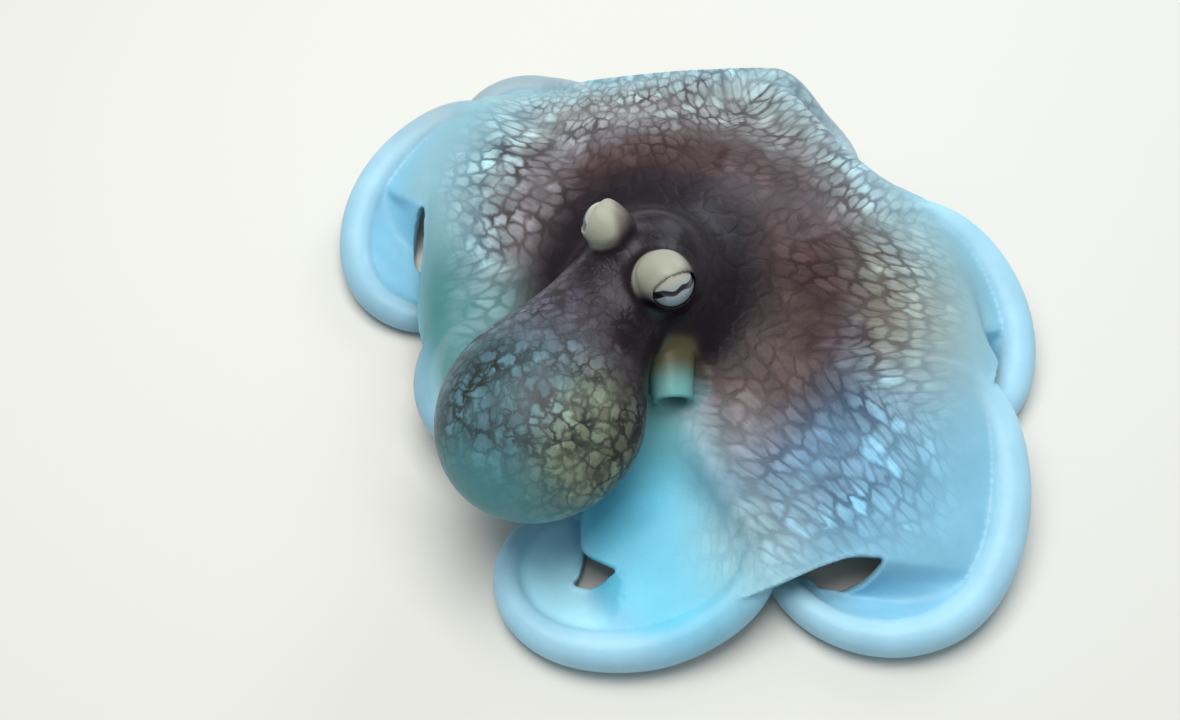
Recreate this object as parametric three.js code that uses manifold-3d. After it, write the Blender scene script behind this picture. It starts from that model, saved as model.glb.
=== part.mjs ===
// Common octopus (Octopus vulgaris), life size, resting with its web spread over the ground.
// Millimetres, +Z up. Eight arms leave a ring under the head, run out beneath the arched web,
// land on the ground and curl back towards the mantle, so that each tip lies tucked under the
// next web. Right arms curl clockwise seen from above, left arms counter-clockwise.
import * as THREE from "three";
import { mergeVertices } from "three/addons/utils/BufferGeometryUtils.js";
import Module from "manifold-3d";

const wasm = await Module();
wasm.setup();

// ---- Driving dimensions ----------------------------------------------------------------
const GAP = 0.35; // clearance between pieces that touch
const HEAD = new THREE.Vector2(-19, 0); // centre of the arm ring in plan
const RING_RADIUS = 24; // where the arms leave the head
const VENTRAL_AZIMUTH = 256; // direction in plan of the gap between the two ventral arms
const BACK_TILT = { height: 50, rise: 12, azimuth: 62 }; // top of the arm ring, higher in front
const ARM_ROOT_RADIUS = 9;
const ARM_TIP_RADIUS = 1.6;
const ARM_TAPER = 2.2; // exponent: an arm stays thick for most of its length
const CURVATURE_BLEND = 12; // half length over which a bend eases into the next stretch
const ARM_SIDES = 8;
const STATION_TURN = 36; // most degrees of bend between two sections of an arm
const STATION_STEP = 20; // most millimetres between two sections of an arm
const PATH_STEP = 1; // integration step along an arm
const SLIVER = 0.02; // edges shorter than this are closed up after a cut
const WEB_THICKNESS = 3;
const EYE_RADIUS = { left: 7.6, right: 8.4 };
const ORBIT_RADIUS = { left: 9, right: 10.4 };
const EYE_CENTRE = {
  left: new THREE.Vector3(-31, 7, 77),
  right: new THREE.Vector3(-13, -14, 76),
};
const EYE_LOOK = {
  left: new THREE.Vector3(-0.6, 0.68, 0.42),
  right: new THREE.Vector3(0.58, -0.7, 0.42),
};
const EYE_STANDS_OUT = 3.1; // how far the eyeball's centre sits towards its opening

// Each arm: heading at its root in degrees, then four stretches as [length, turn in degrees]
// towards its curled side, and the tip's log spiral as [turn in degrees, last bend radius].
// `landing` is the length along the arm where it meets the ground, `flare` how late it drops,
// and `hump` a raised knuckle as [place, height, width].
const ARMS = {
  R1: {
    heading: 62,
    stretches: [[96, -20], [19, 88], [20, 30], [36, 100]],
    spiral: [420, 5],
    landing: 130,
    flare: 2.2,
    hump: [112, 17, 17],
  },
  R2: {
    heading: 26,
    stretches: [[83, -12], [33, 80], [64, 71], [50, 103]],
    spiral: [380, 5],
    landing: 180,
    flare: 1.7,
  },
  R3: {
    heading: -10,
    stretches: [[87, -14], [24, 76], [67, 52], [68, 98]],
    spiral: [380, 5],
    landing: 192,
    flare: 1.6,
  },
  R4: {
    heading: -60,
    stretches: [[63, -3], [24, 78], [65, 60], [51, 104]],
    spiral: [210, 5],
    landing: 125,
    flare: 1.3,
  },
  L1: {
    heading: 102,
    stretches: [[95, -5], [29, 59], [22, 57], [28, 68]],
    spiral: [380, 5],
    landing: 125,
    flare: 2.2,
  },
  L2: {
    heading: 122,
    stretches: [[91, -17], [22, 91], [87, 98], [30, 60]],
    spiral: [400, 5],
    landing: 190,
    flare: 1.8,
  },
  L3: {
    heading: 166,
    stretches: [[18, -18], [26, 70], [32, 72], [26, 70]],
    spiral: [420, 5],
    landing: 150,
    flare: 1.3,
  },
  L4: {
    heading: 236,
    stretches: [[14, 0], [18, 60], [20, 80], [18, 60]],
    spiral: [400, 4],
    landing: 48,
    flare: 1,
  },
};
const LANDING_EASE = 1.5; // exponent that brings an arm level as it meets the ground
const STRETCH_NAMES = ["base", "bend", "sweep", "curl", "tip"];

// Each web spans two arms. `from` is the arm whose tip tucks under the web, `to` the next one,
// `reach` how far along each the web is attached, `bulge` how far it billows up at its root
// and at its margin. `margin` gives the free margin's offsets away from the head as [share of
// the way across, offset]. `frill` is the narrow skirt that goes on along the first arm: it
// parts from the margin at the share `parting`, leaves a slit given as [heading in degrees,
// length, depth], runs `onward` by [along, away] from the slit's end, and keeps to the arm for
// the length `run`.
const WEBS = {
  right_12: {
    from: "R1",
    to: "R2",
    reach: [146, 100],
    bulge: [1, 2],
    margin: [[0.5, -4]],
    frill: { parting: 0.15, slit: [278, 8, 1], onward: [14, -4], run: 36 },
  },
  right_23: {
    from: "R2",
    to: "R3",
    reach: [155, 106],
    bulge: [1, 3],
    margin: [[0.18, -8], [0.48, -5], [0.72, 0]],
    frill: { parting: 0.18, slit: [280, 10, 2.4], onward: [15, -4], run: 60 },
  },
  right_34: {
    from: "R3",
    to: "R4",
    reach: [174, 92],
    bulge: [1.5, 5],
    margin: [[0.38, -6], [0.5, -8.5], [0.66, -6], [0.83, -2]],
    frill: { parting: 0.38, slit: [180, 25, 5.3], onward: [14, -6], run: 110 },
  },
  ventral: {
    from: "R4",
    to: "L4",
    reach: [134, 36],
    bulge: [-4, 2],
    margin: [[0.33, -4.5], [0.42, 10], [0.66, 8.5]],
    frill: { parting: 0.33, slit: [180, 15, 2.8], onward: [-5, -24], run: 95 },
  },
  left_12: {
    from: "L1",
    to: "L2",
    reach: [148, 104],
    bulge: [1, 2],
    margin: [],
    frill: { parting: 0.2, slit: [240, 8, 1], onward: [14, -4], run: 50 },
  },
  left_23: {
    from: "L2",
    to: "L3",
    reach: [152, 82],
    bulge: [1, 3],
    margin: [[0.15, -13], [0.36, -8], [0.65, 1]],
    frill: { parting: 0.15, slit: [268, 22, 3.8], onward: [16, -6], run: 80 },
  },
  left_34: {
    from: "L3",
    to: "L4",
    reach: [78, 26],
    bulge: [2, 3],
    margin: [],
    frill: { parting: 0.2, slit: [0, 8, 1], onward: [12, -4], run: 30 },
  },
  dorsal: { from: "L1", to: "R1", reach: [112, 110], bulge: [1, 1], margin: [[0.5, 1]] },
};
const WEB_ROWS = 7;
const WEB_COLUMNS = 7;
const WEB_FAN = 1.35; // exponent: the web runs down its second arm sooner than down its first
const WEB_SETTLE = 0.3; // share of the web's reach over which its bulge grows in
const MARGIN_ROUNDING = 0.06; // share of the way across over which the margin's corners are rounded
// Where the web meets an arm, in degrees from the arm's top: it slides down from `root` (or
// `ventral`) to `out` over the length `over` that starts at `from`. `aside` and `up` are shares
// of the arm's radius, less than 1 so that the web is let into the arm.
const SHOULDER = { root: 18, ventral: 35, out: 66, from: 85, over: 65, aside: 0.85, up: 0.88 };
// The frill: its free edge's height above the ground, the share of its edge that borders the
// slit, the share over which it settles to that height, its least height, how far it stops
// before the arm's end, and the exponent of its pace along the arm.
const FRILL = {
  rows: 8,
  height: 5,
  slit: 0.55,
  settles: 0.3,
  least: 2,
  stop: 12,
  pace: 1.2,
};

const MANTLE = {
  neck: new THREE.Vector3(-28, -1, 60),
  tip: new THREE.Vector3(-72, -87, 46),
  halfWidth: 35.7,
  halfHeight: 24.5,
  neckShare: 0.55, // neck radius as a share of the widest
  widest: 0.6, // place of the widest section along the mantle
  rows: 10,
  sides: 16,
};
const FUNNEL = {
  base: new THREE.Vector3(-10.5, -14, 48),
  direction: new THREE.Vector3(0.05, -0.97, -0.3),
  length: 27,
  radius: [9, 7],
  bore: 4.5,
  boreDepth: 12,
  waist: 0.6, // share of its length over which it narrows
  lip: 1, // chamfer round its mouth
  sides: 12,
};
// The head as [height, radius] pairs up its axis, before the ring's tilt is added.
const HEAD_PROFILE = [
  [30, 0],
  [31, 12],
  [37, 18.5],
  [51.8, 18.5],
  [52, 25.5],
  [58, 24.5],
  [67, 20],
  [74, 12],
  [77, 0],
];
const HEAD_SEGMENTS = 16;
const BALL_SEGMENTS = [14, 7];

const UP = new THREE.Vector3(0, 0, 1);
const SIDES = ["left", "right"];
const rad = THREE.MathUtils.degToRad;
const smooth = (x) => THREE.MathUtils.smoothstep(x, 0, 1);
const plan = (angle) => new THREE.Vector3(Math.cos(angle), Math.sin(angle), 0);

// ---- Arm paths -------------------------------------------------------------------------
// Azimuth of an arm's root: the pairs stand 45 degrees apart, either side of the midline.
function rootAzimuth(name) {
  const side = name[0] === "R" ? -1 : 1;
  const pair = Number(name[1]) - 1;
  return rad(VENTRAL_AZIMUTH - 180 + side * (22.5 + 45 * pair));
}

// The stretches of an arm as [length, first bend radius, last bend radius].
function stretchesOf(arm) {
  const parts = arm.stretches.map(([length, turn]) => {
    const radius = length / rad(turn || 1e-6);
    return [length, radius, radius];
  });
  const wide = parts[parts.length - 1][1];
  const [turn, tight] = arm.spiral;
  const length = (rad(turn) * (wide - tight)) / Math.log(wide / tight);
  return [...parts, [length, wide, tight]];
}

// Curvature at length s, before it is blended.
function curvatureAt(parts, s) {
  let start = 0;
  for (const [length, first, last] of parts) {
    if (s < start + length) return 1 / (first + ((last - first) * (s - start)) / length);
    start += length;
  }
  return 1 / parts[parts.length - 1][2];
}

function makePath(name) {
  const arm = ARMS[name];
  const side = name[0] === "R" ? -1 : 1;
  const parts = stretchesOf(arm);
  const length = parts.reduce((sum, part) => sum + part[0], 0);
  const count = Math.ceil(length / PATH_STEP);
  const step = length / count;
  const blend = (s) => {
    let sum = 0;
    for (let k = -4; k <= 4; k++) {
      const place = THREE.MathUtils.clamp(s + (k * CURVATURE_BLEND) / 4, 0, length);
      sum += curvatureAt(parts, place);
    }
    return sum / 9;
  };
  const azimuth = rootAzimuth(name);
  const crown = BACK_TILT.height + BACK_TILT.rise * Math.cos(azimuth - rad(BACK_TILT.azimuth));
  const drop = crown - 2 * ARM_ROOT_RADIUS;
  const samples = [];
  let heading = rad(arm.heading);
  const point = plan(azimuth).multiplyScalar(RING_RADIUS);
  point.x += HEAD.x;
  point.y += HEAD.y;
  for (let i = 0; i <= count; i++) {
    const s = i * step;
    if (i) {
      const turned = side * blend(s - step / 2) * step;
      point.addScaledVector(plan(heading + turned / 2), step);
      heading += turned;
    }
    const radius = ARM_TIP_RADIUS + (ARM_ROOT_RADIUS - ARM_TIP_RADIUS) * (1 - (s / length) ** ARM_TAPER);
    const landed = Math.min(s / arm.landing, 1);
    let height = radius + drop * (1 - landed ** arm.flare) ** LANDING_EASE;
    if (arm.hump) {
      const [place, rise, width] = arm.hump;
      height += rise * Math.exp(-(((s - place) / width) ** 2));
    }
    samples.push({ x: point.x, y: point.y, z: height, heading, radius });
  }
  // The path at length s: its centre, heading, radius and the way to its curled side.
  const at = (s) => {
    const place = THREE.MathUtils.clamp(s / step, 0, count - 1e-6);
    const i = Math.floor(place);
    const f = place - i;
    const mix = (key) => samples[i][key] * (1 - f) + samples[i + 1][key] * f;
    const angle = mix("heading");
    return {
      centre: new THREE.Vector3(mix("x"), mix("y"), mix("z")),
      angle,
      slope: s < arm.landing ? (samples[i + 1].z - samples[i].z) / step : 0,
      radius: mix("radius"),
      inward: plan(angle + (side * Math.PI) / 2),
    };
  };
  const ends = [0];
  parts.forEach((part) => ends.push(ends[ends.length - 1] + part[0]));
  return { name, length, at, ends };
}

// Lengths along a stretch where sections are set: close together in a bend, apart elsewhere.
function stationsOf(path, first, last) {
  const stations = [first];
  let placed = first;
  for (let s = first + PATH_STEP; s < last; s += PATH_STEP) {
    const turned = Math.abs(path.at(s).angle - path.at(placed).angle);
    if (turned < rad(STATION_TURN) && s - placed < STATION_STEP) continue;
    stations.push(s);
    placed = s;
  }
  if (last - placed < 2) stations.pop();
  stations.push(last);
  return stations;
}

// ---- Closed bodies ---------------------------------------------------------------------
// A body lofted through rings of points, closed by a flat fan at each end.
function loft(rings) {
  const sides = rings[0].length;
  const points = rings.flat();
  const middle = (ring) => ring.reduce((sum, p) => sum.add(p), new THREE.Vector3()).divideScalar(sides);
  const start = points.length;
  points.push(middle(rings[0]), middle(rings[rings.length - 1]));
  const faces = [];
  for (let j = 0; j < sides; j++) {
    const next = (j + 1) % sides;
    faces.push(start, next, j);
    const end = (rings.length - 1) * sides;
    faces.push(start + 1, end + j, end + next);
    for (let i = 0; i < rings.length - 1; i++) {
      const a = i * sides + j;
      const b = i * sides + next;
      faces.push(a, b, b + sides, a, b + sides, a + sides);
    }
  }
  return bodyOf(points, faces);
}

// A sheet of quads, thickened evenly to both sides along the normals and closed round its rim.
function slab(points, quads, thickness) {
  const normals = points.map(() => new THREE.Vector3());
  for (const [a, b, c, d] of quads) {
    const across = points[c].clone().sub(points[a]);
    const normal = across.cross(points[d].clone().sub(points[b]));
    for (const corner of [a, b, c, d]) normals[corner].add(normal);
  }
  const facing = Math.sign(normals.reduce((sum, normal) => sum + normal.z, 0));
  const offset = (i) => normals[i].clone().normalize().multiplyScalar((facing * thickness) / 2);
  const tops = points.map((p, i) => p.clone().add(offset(i)));
  const bottoms = points.map((p, i) => p.clone().sub(offset(i)));
  const under = points.length;
  const faces = [];
  const addQuad = (a, b, c, d) => {
    if (facing > 0) faces.push(a, b, c, a, c, d);
    else faces.push(a, c, b, a, d, c);
  };
  const rim = new Map();
  for (const [a, b, c, d] of quads) {
    addQuad(a, b, c, d);
    addQuad(under + a, under + d, under + c, under + b);
    for (const [from, to] of [[a, b], [b, c], [c, d], [d, a]]) {
      if (!rim.delete(`${to} ${from}`)) rim.set(`${from} ${to}`, [from, to]);
    }
  }
  for (const [from, to] of rim.values()) addQuad(from, under + from, under + to, to);
  return bodyOf([...tops, ...bottoms], faces);
}

function bodyOf(points, faces) {
  const vertProperties = new Float32Array(points.flatMap((p) => [p.x, p.y, p.z]));
  const triVerts = new Uint32Array(faces);
  return new wasm.Manifold(new wasm.Mesh({ numProp: 3, vertProperties, triVerts }));
}

// A three.js geometry as a solid, once its shared vertices are merged.
function solidOf(geometry) {
  const bare = geometry.clone();
  bare.deleteAttribute("normal");
  bare.deleteAttribute("uv");
  const merged = mergeVertices(bare, 1e-4);
  return new wasm.Manifold(
    new wasm.Mesh({
      numProp: 3,
      vertProperties: merged.attributes.position.array,
      triVerts: new Uint32Array(merged.index.array),
    }),
  );
}

// The largest of the bodies that a cut leaves, without the cut's slivers.
function largest(solid) {
  const bodies = solid.decompose();
  return bodies.reduce((best, body) => (body.volume() > best.volume() ? body : best)).simplify(SLIVER);
}

// ---- Arms ------------------------------------------------------------------------------
// One length of an arm: eight-sided sections with a flat side down, which lies on the ground
// once the arm has landed. `grow` makes the tool that cuts clearance into its neighbours.
function armLength(path, stations, grow = 0) {
  const rings = stations.map((s) => {
    const { centre, angle, slope, radius } = path.at(s);
    const ahead = plan(angle).addScaledVector(UP, slope).normalize();
    const aside = UP.clone().cross(ahead).normalize();
    const over = ahead.clone().cross(aside);
    const corner = (radius + grow) / Math.cos(Math.PI / ARM_SIDES);
    return Array.from({ length: ARM_SIDES }, (_, k) => {
      const turn = ((k + 0.5) * 2 * Math.PI) / ARM_SIDES;
      const place = centre.clone();
      place.addScaledVector(aside, corner * Math.cos(turn));
      place.addScaledVector(over, corner * Math.sin(turn));
      if (!grow) place.z = Math.max(place.z, 0);
      return place;
    });
  });
  return loft(rings);
}

// ---- Webs ------------------------------------------------------------------------------
// A point on an arm's shoulder, `lean` radians from its top towards `side` of its curl.
function shoulder(path, s, side, lean) {
  const { centre, inward, radius } = path.at(s);
  return centre
    .addScaledVector(inward, side * radius * SHOULDER.aside * Math.sin(lean))
    .addScaledVector(UP, radius * SHOULDER.up * Math.cos(lean));
}

// The web is attached high on the shoulder near the head and lower down further out.
const leanAt = (s, root) =>
  rad(THREE.MathUtils.lerp(root, SHOULDER.out, smooth((s - SHOULDER.from) / SHOULDER.over)));

// A table of [place, value] pairs read at x, with straight lines between the pairs.
function readTable(table, x) {
  const k = THREE.MathUtils.clamp(table.findIndex(([place]) => place >= x), 1, table.length - 1);
  const [[a, first], [b, last]] = [table[k - 1], table[k]];
  return THREE.MathUtils.lerp(first, last, (x - a) / (b - a));
}

// The margin's offset at v, averaged over its neighbourhood so that no corner stays sharp.
function marginOffset(web, v) {
  const table = [[0, 0], ...web.margin, [1, 0]];
  const samples = [-1, -2 / 3, -1 / 3, 0, 1 / 3, 2 / 3, 1];
  const read = (k) => readTable(table, THREE.MathUtils.clamp(v + k * MARGIN_ROUNDING, 0, 1));
  return samples.reduce((sum, k) => sum + read(k), 0) / samples.length;
}

// Rows of points across the web, from its root at the head to its free margin, and the level
// direction away from the head across which the margin is offset.
function webGrid(web) {
  const from = paths[web.from];
  const to = paths[web.to];
  const fromSide = web === WEBS.dorsal ? -1 : 1;
  const toSide = web === WEBS.ventral ? 1 : -1;
  const root = web === WEBS.ventral ? SHOULDER.ventral : SHOULDER.root;
  const ends = (t) => {
    const s = web.reach[0] * t;
    const r = web.reach[1] * (1 - (1 - t) ** WEB_FAN);
    return [shoulder(from, s, fromSide, leanAt(s, root)), shoulder(to, r, toSide, leanAt(r, root))];
  };
  const [start, end] = ends(1);
  const middle = start.clone().add(end).divideScalar(2);
  const [startInside, endInside] = ends(0.5);
  const inside = startInside.add(endInside).divideScalar(2);
  const away = UP.clone().cross(end.clone().sub(start)).normalize();
  away.multiplyScalar(Math.sign(middle.sub(inside).dot(away)));
  const grid = Array.from({ length: WEB_ROWS }, (_, i) => {
    const t = i / (WEB_ROWS - 1);
    const [a, b] = ends(t);
    const bulge = THREE.MathUtils.lerp(web.bulge[0], web.bulge[1], t) * smooth(t / WEB_SETTLE);
    return columnsOf(web).places.map((v) => {
      const bow = 4 * v * (1 - v);
      const place = a.clone().lerp(b, v);
      place.z += bulge * bow;
      return place.addScaledVector(away, t ** 3 * marginOffset(web, v) * smooth(2 * bow));
    });
  });
  return { grid, away };
}

// The columns' places across a web: one of them lies where the frill parts from the margin.
function columnsOf(web) {
  const last = WEB_COLUMNS - 1;
  const parting = web.frill ? web.frill.parting : 1;
  const near = Math.max(Math.round(parting * last), 1);
  const places = Array.from({ length: WEB_COLUMNS }, (_, j) =>
    j <= near ? (parting * j) / near : parting + ((1 - parting) * (j - near)) / (last - near),
  );
  return { places, near };
}

// Rows of points across the frill, after the margin that it goes on from. Its edge starts at
// the parting point, goes half round an ellipse as long and deep as the slit, and then runs on.
function frillRows(web, margin, away) {
  const path = paths[web.from];
  const { slit, onward, run } = web.frill;
  const { near } = columnsOf(web);
  const start = margin[near];
  const [heading, length, depth] = slit;
  const ahead = plan(rad(heading));
  const outward = UP.clone().cross(ahead);
  outward.multiplyScalar(Math.sign(outward.dot(away)));
  const end = Math.min(web.reach[0] + run, path.length - FRILL.stop);
  return Array.from({ length: FRILL.rows }, (_, i) => {
    const f = (i + 1) / FRILL.rows;
    const s = THREE.MathUtils.lerp(web.reach[0], end, f ** FRILL.pace);
    const root = shoulder(path, s, 1, rad(SHOULDER.out));
    const turn = Math.PI * Math.min(f / FRILL.slit, 1);
    const after = (Math.max(f - FRILL.slit, 0) / (1 - FRILL.slit)) * (Math.PI / 2);
    const edge = start.clone();
    edge.addScaledVector(ahead, (length / 2) * (1 - Math.cos(turn)) + onward[0] * Math.sin(after));
    edge.addScaledVector(outward, depth * Math.sin(turn) + onward[1] * (1 - Math.cos(after)));
    edge.z = THREE.MathUtils.lerp(start.z, FRILL.height, smooth(f / FRILL.settles));
    return Array.from({ length: near + 1 }, (_, j) => {
      const place = root.clone().lerp(edge, j / near);
      place.z = Math.max(place.z, FRILL.least);
      return place;
    });
  });
}

// A web and its frill as one sheet.
function webSolid(web, grow = 0) {
  const { grid, away } = webGrid(web);
  const points = [...grid.flat()];
  const quads = [];
  const addRow = (above, below, columns) => {
    for (let j = 0; j < columns - 1; j++) quads.push([above + j, below + j, below + j + 1, above + j + 1]);
  };
  for (let i = 0; i < WEB_ROWS - 1; i++) addRow(i * WEB_COLUMNS, (i + 1) * WEB_COLUMNS, WEB_COLUMNS);
  if (web.frill) {
    let above = (WEB_ROWS - 1) * WEB_COLUMNS;
    for (const row of frillRows(web, grid[WEB_ROWS - 1], away)) {
      addRow(above, points.length, row.length);
      above = points.length;
      points.push(...row);
    }
  }
  return slab(points, quads, WEB_THICKNESS + 2 * grow);
}

// ---- Head, mantle, funnel and eyes -------------------------------------------------------
// A lathe-turned body with its axis along +Z, stood at a place and leaned over.
function turned(profile, segments) {
  const points = profile.map(([z, r]) => new THREE.Vector2(r, z));
  return new THREE.LatheGeometry(points, segments).rotateX(Math.PI / 2);
}

function ball(centre, radius) {
  const geometry = new THREE.SphereGeometry(radius, ...BALL_SEGMENTS);
  return solidOf(geometry.translate(centre.x, centre.y, centre.z));
}

// Eyeballs sit off the middle of their orbits, towards the opening that they look out of.
const eyePlace = (side) =>
  EYE_CENTRE[side].clone().addScaledVector(EYE_LOOK[side].clone().normalize(), EYE_STANDS_OUT);

// The domed head, leaned back with the arm ring, and its two raised orbits.
function headSolid(grow = 0) {
  const lean = BACK_TILT.rise / RING_RADIUS;
  const shear = new THREE.Matrix4().set(
    1, 0, 0, HEAD.x,
    0, 1, 0, HEAD.y,
    lean * Math.cos(rad(BACK_TILT.azimuth)), lean * Math.sin(rad(BACK_TILT.azimuth)), 1, 0,
    0, 0, 0, 1,
  );
  const [foot, top] = [HEAD_PROFILE[0][0], HEAD_PROFILE[HEAD_PROFILE.length - 1][0]];
  const profile = HEAD_PROFILE.map(([z, r]) => {
    const raised = (z === top ? grow : 0) - (z === foot ? grow : 0);
    return [z + raised, r ? r + grow : 0];
  });
  const dome = solidOf(turned(profile, HEAD_SEGMENTS).applyMatrix4(shear));
  return SIDES.reduce((made, side) => made.add(ball(EYE_CENTRE[side], ORBIT_RADIUS[side] + grow)), dome);
}

// The mantle: a sac that swells from the neck to its widest and closes in a round end.
function mantleSolid(grow = 0) {
  const { neck, tip, halfWidth, halfHeight, neckShare, widest, rows, sides } = MANTLE;
  const axis = tip.clone().sub(neck);
  const ahead = axis.clone().normalize();
  const aside = UP.clone().cross(ahead).normalize();
  const over = ahead.clone().cross(aside);
  const closed = 0.995; // share of the length at which the round end is closed by a flat
  const rings = Array.from({ length: rows }, (_, i) => {
    const t = closed * Math.sin(((i / (rows - 1)) * Math.PI) / 2);
    const swell = neckShare + (1 - neckShare) * smooth(t / widest);
    const close = Math.sqrt(Math.max(1 - ((t - widest) / (1 - widest)) ** 2, 0));
    const share = t > widest ? close : swell;
    return Array.from({ length: sides }, (_, k) => {
      const turn = (k * 2 * Math.PI) / sides;
      const place = neck.clone().addScaledVector(axis, t);
      place.addScaledVector(aside, (halfWidth * share + grow) * Math.cos(turn));
      return place.addScaledVector(over, (halfHeight * share + grow) * Math.sin(turn));
    });
  });
  return loft(rings);
}

// The funnel: a tapered tube with a blind bore, pointing out from under the mantle's edge.
function funnelSolid() {
  const { base, direction, length, radius, bore, boreDepth, waist, lip, sides } = FUNNEL;
  const profile = [
    [0, 0],
    [0, radius[0]],
    [length * waist, (radius[0] + radius[1]) / 2],
    [length - lip, radius[1]],
    [length, radius[1] - lip],
    [length, bore],
    [length - boreDepth, bore * waist],
    [length - boreDepth, 0],
  ];
  const lie = new THREE.Quaternion().setFromUnitVectors(UP, direction.clone().normalize());
  const geometry = turned(profile, sides).applyQuaternion(lie).translate(base.x, base.y, base.z);
  return solidOf(geometry);
}

// ---- Assembly --------------------------------------------------------------------------
const MATERIALS = {
  arm: { color: 0x9fc9dd, roughness: 0.45 },
  web: { color: 0x8d8f9b, roughness: 0.45 },
  head: { color: 0x2c1d26, roughness: 0.4 },
  mantle: { color: 0x6d6a72, roughness: 0.45 },
  funnel: { color: 0x7d7a4a, roughness: 0.4 },
  eye: { color: 0xd8d6c4, roughness: 0.15 },
};

const octopus = new THREE.Group();

function addNode(name, look, solid) {
  const { vertProperties, triVerts, numProp } = solid.getMesh();
  const geometry = new THREE.BufferGeometry();
  const positions = new Float32Array((vertProperties.length / numProp) * 3);
  for (let i = 0; i < positions.length / 3; i++) {
    positions.set(vertProperties.subarray(i * numProp, i * numProp + 3), i * 3);
  }
  geometry.setAttribute("position", new THREE.BufferAttribute(positions, 3));
  geometry.setIndex(new THREE.BufferAttribute(triVerts, 1));
  geometry.computeVertexNormals();
  const material = new THREE.MeshStandardMaterial({ ...MATERIALS[look], metalness: 0 });
  const mesh = new THREE.Mesh(geometry, material);
  mesh.name = name;
  octopus.add(mesh);
}

const paths = Object.fromEntries(Object.keys(ARMS).map((name) => [name, makePath(name)]));
const stationSets = Object.values(paths).map((path) =>
  STRETCH_NAMES.map((_, i) => stationsOf(path, path.ends[i], path.ends[i + 1])),
);
const armTools = Object.values(paths).map((path, k) => {
  const all = stationSets[k].flatMap((set, i) => (i ? set.slice(1) : set));
  return armLength(path, all, GAP);
});
const clearOfArms = (solid) => armTools.reduce((left, tool) => left.subtract(tool), solid);

Object.values(paths).forEach((path, k) => {
  STRETCH_NAMES.forEach((stretch, i) => {
    const stations = [...stationSets[k][i]];
    if (i) stations[0] += GAP / 2;
    if (i < STRETCH_NAMES.length - 1) stations[stations.length - 1] -= GAP / 2;
    addNode(`arm_${path.name}_${stretch}`, "arm", armLength(path, stations));
  });
});

const headTool = headSolid(GAP);
const mantleTool = mantleSolid(GAP);
for (const [name, web] of Object.entries(WEBS)) {
  addNode(`web_${name}`, "web", largest(clearOfArms(webSolid(web)).subtract(headTool)));
}
const webTools = Object.values(WEBS).map((web) => webSolid(web, GAP));
const clearOfWebs = (solid) => webTools.reduce((left, tool) => left.subtract(tool), solid);

const eyeTools = SIDES.map((side) => ball(eyePlace(side), EYE_RADIUS[side] + GAP));
const clearOfEyes = (solid) => eyeTools.reduce((left, tool) => left.subtract(tool), solid);
SIDES.forEach((side) => addNode(`eye_${side}`, "eye", ball(eyePlace(side), EYE_RADIUS[side])));
addNode("head", "head", largest(clearOfEyes(headSolid())));
const clearOfHead = (solid) => clearOfEyes(solid.subtract(headTool));
const clearOfAll = (solid) => largest(clearOfWebs(clearOfArms(clearOfHead(solid))));
addNode("mantle", "mantle", clearOfAll(mantleSolid()));
addNode("funnel", "funnel", clearOfAll(funnelSolid().subtract(mantleTool)));

// The origin is under the middle of the whole animal, on the ground.
const box = new THREE.Box3().setFromObject(octopus);
const middle = box.getCenter(new THREE.Vector3());
octopus.position.set(-middle.x, -middle.y, -box.min.z);

export default octopus;
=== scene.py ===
# %% [markdown]
# # An octopus with its web spread
# The animal is a common octopus that has settled on the ground like an open umbrella. It could
# be sculpted by hand, or joined from separate tubes and sheets, but a sculpture holds no
# measures and joined parts show their seams. So each part of the body is worked out as a closed
# surface with numpy, the surfaces are melted into one skin, the skin is tagged with where on the
# animal each point lies, and one procedural material reads those tags. The suckers and the
# eyeballs are finer work, and are made on their own.

# %% Load the frame and keep its size
import math

import bpy
import numpy as np
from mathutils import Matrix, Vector


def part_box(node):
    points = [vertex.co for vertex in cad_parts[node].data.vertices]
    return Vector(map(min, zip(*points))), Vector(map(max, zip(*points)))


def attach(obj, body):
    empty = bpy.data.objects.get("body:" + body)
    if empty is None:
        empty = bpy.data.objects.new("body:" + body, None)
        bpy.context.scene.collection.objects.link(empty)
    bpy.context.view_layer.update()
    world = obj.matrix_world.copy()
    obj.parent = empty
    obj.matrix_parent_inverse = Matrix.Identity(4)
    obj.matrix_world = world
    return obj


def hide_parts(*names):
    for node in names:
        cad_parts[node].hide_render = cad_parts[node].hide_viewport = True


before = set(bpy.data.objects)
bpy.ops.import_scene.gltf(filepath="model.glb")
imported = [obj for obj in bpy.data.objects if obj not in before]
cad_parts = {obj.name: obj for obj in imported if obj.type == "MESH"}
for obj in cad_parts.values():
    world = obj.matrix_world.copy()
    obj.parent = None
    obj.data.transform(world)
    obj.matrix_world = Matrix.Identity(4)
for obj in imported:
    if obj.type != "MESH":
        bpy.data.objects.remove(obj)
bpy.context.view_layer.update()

# %% [markdown]
# ## Lengths
# The body is worked out in millimetres, from a point on the ground near the middle of the
# arms. The frame's own origin lies under the middle of the whole animal, so one shift, read
# from where the frame holds the right eye, takes every finished point into the frame.

# %% Lengths, and the shift into the frame
MM_PER_M = 1000
# the middles of the knobs that hold the eyes, and the ways in which the eyes stand out of them
RIGHT_EYE = np.array([-13.0, -14.0, 76.0])
LEFT_EYE = np.array([-31.0, 7.0, 77.0])
RIGHT_LOOK = np.array([0.58, -0.7, 0.42])
LEFT_LOOK = np.array([-0.6, 0.68, 0.42])
EYE_STANDS_OUT = 3.1  # from the knob's middle to the eyeball's


def unit(vectors):
    """Each vector divided by its own length."""
    return vectors / np.maximum(np.linalg.norm(vectors, axis=-1, keepdims=True), 1e-9)


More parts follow.
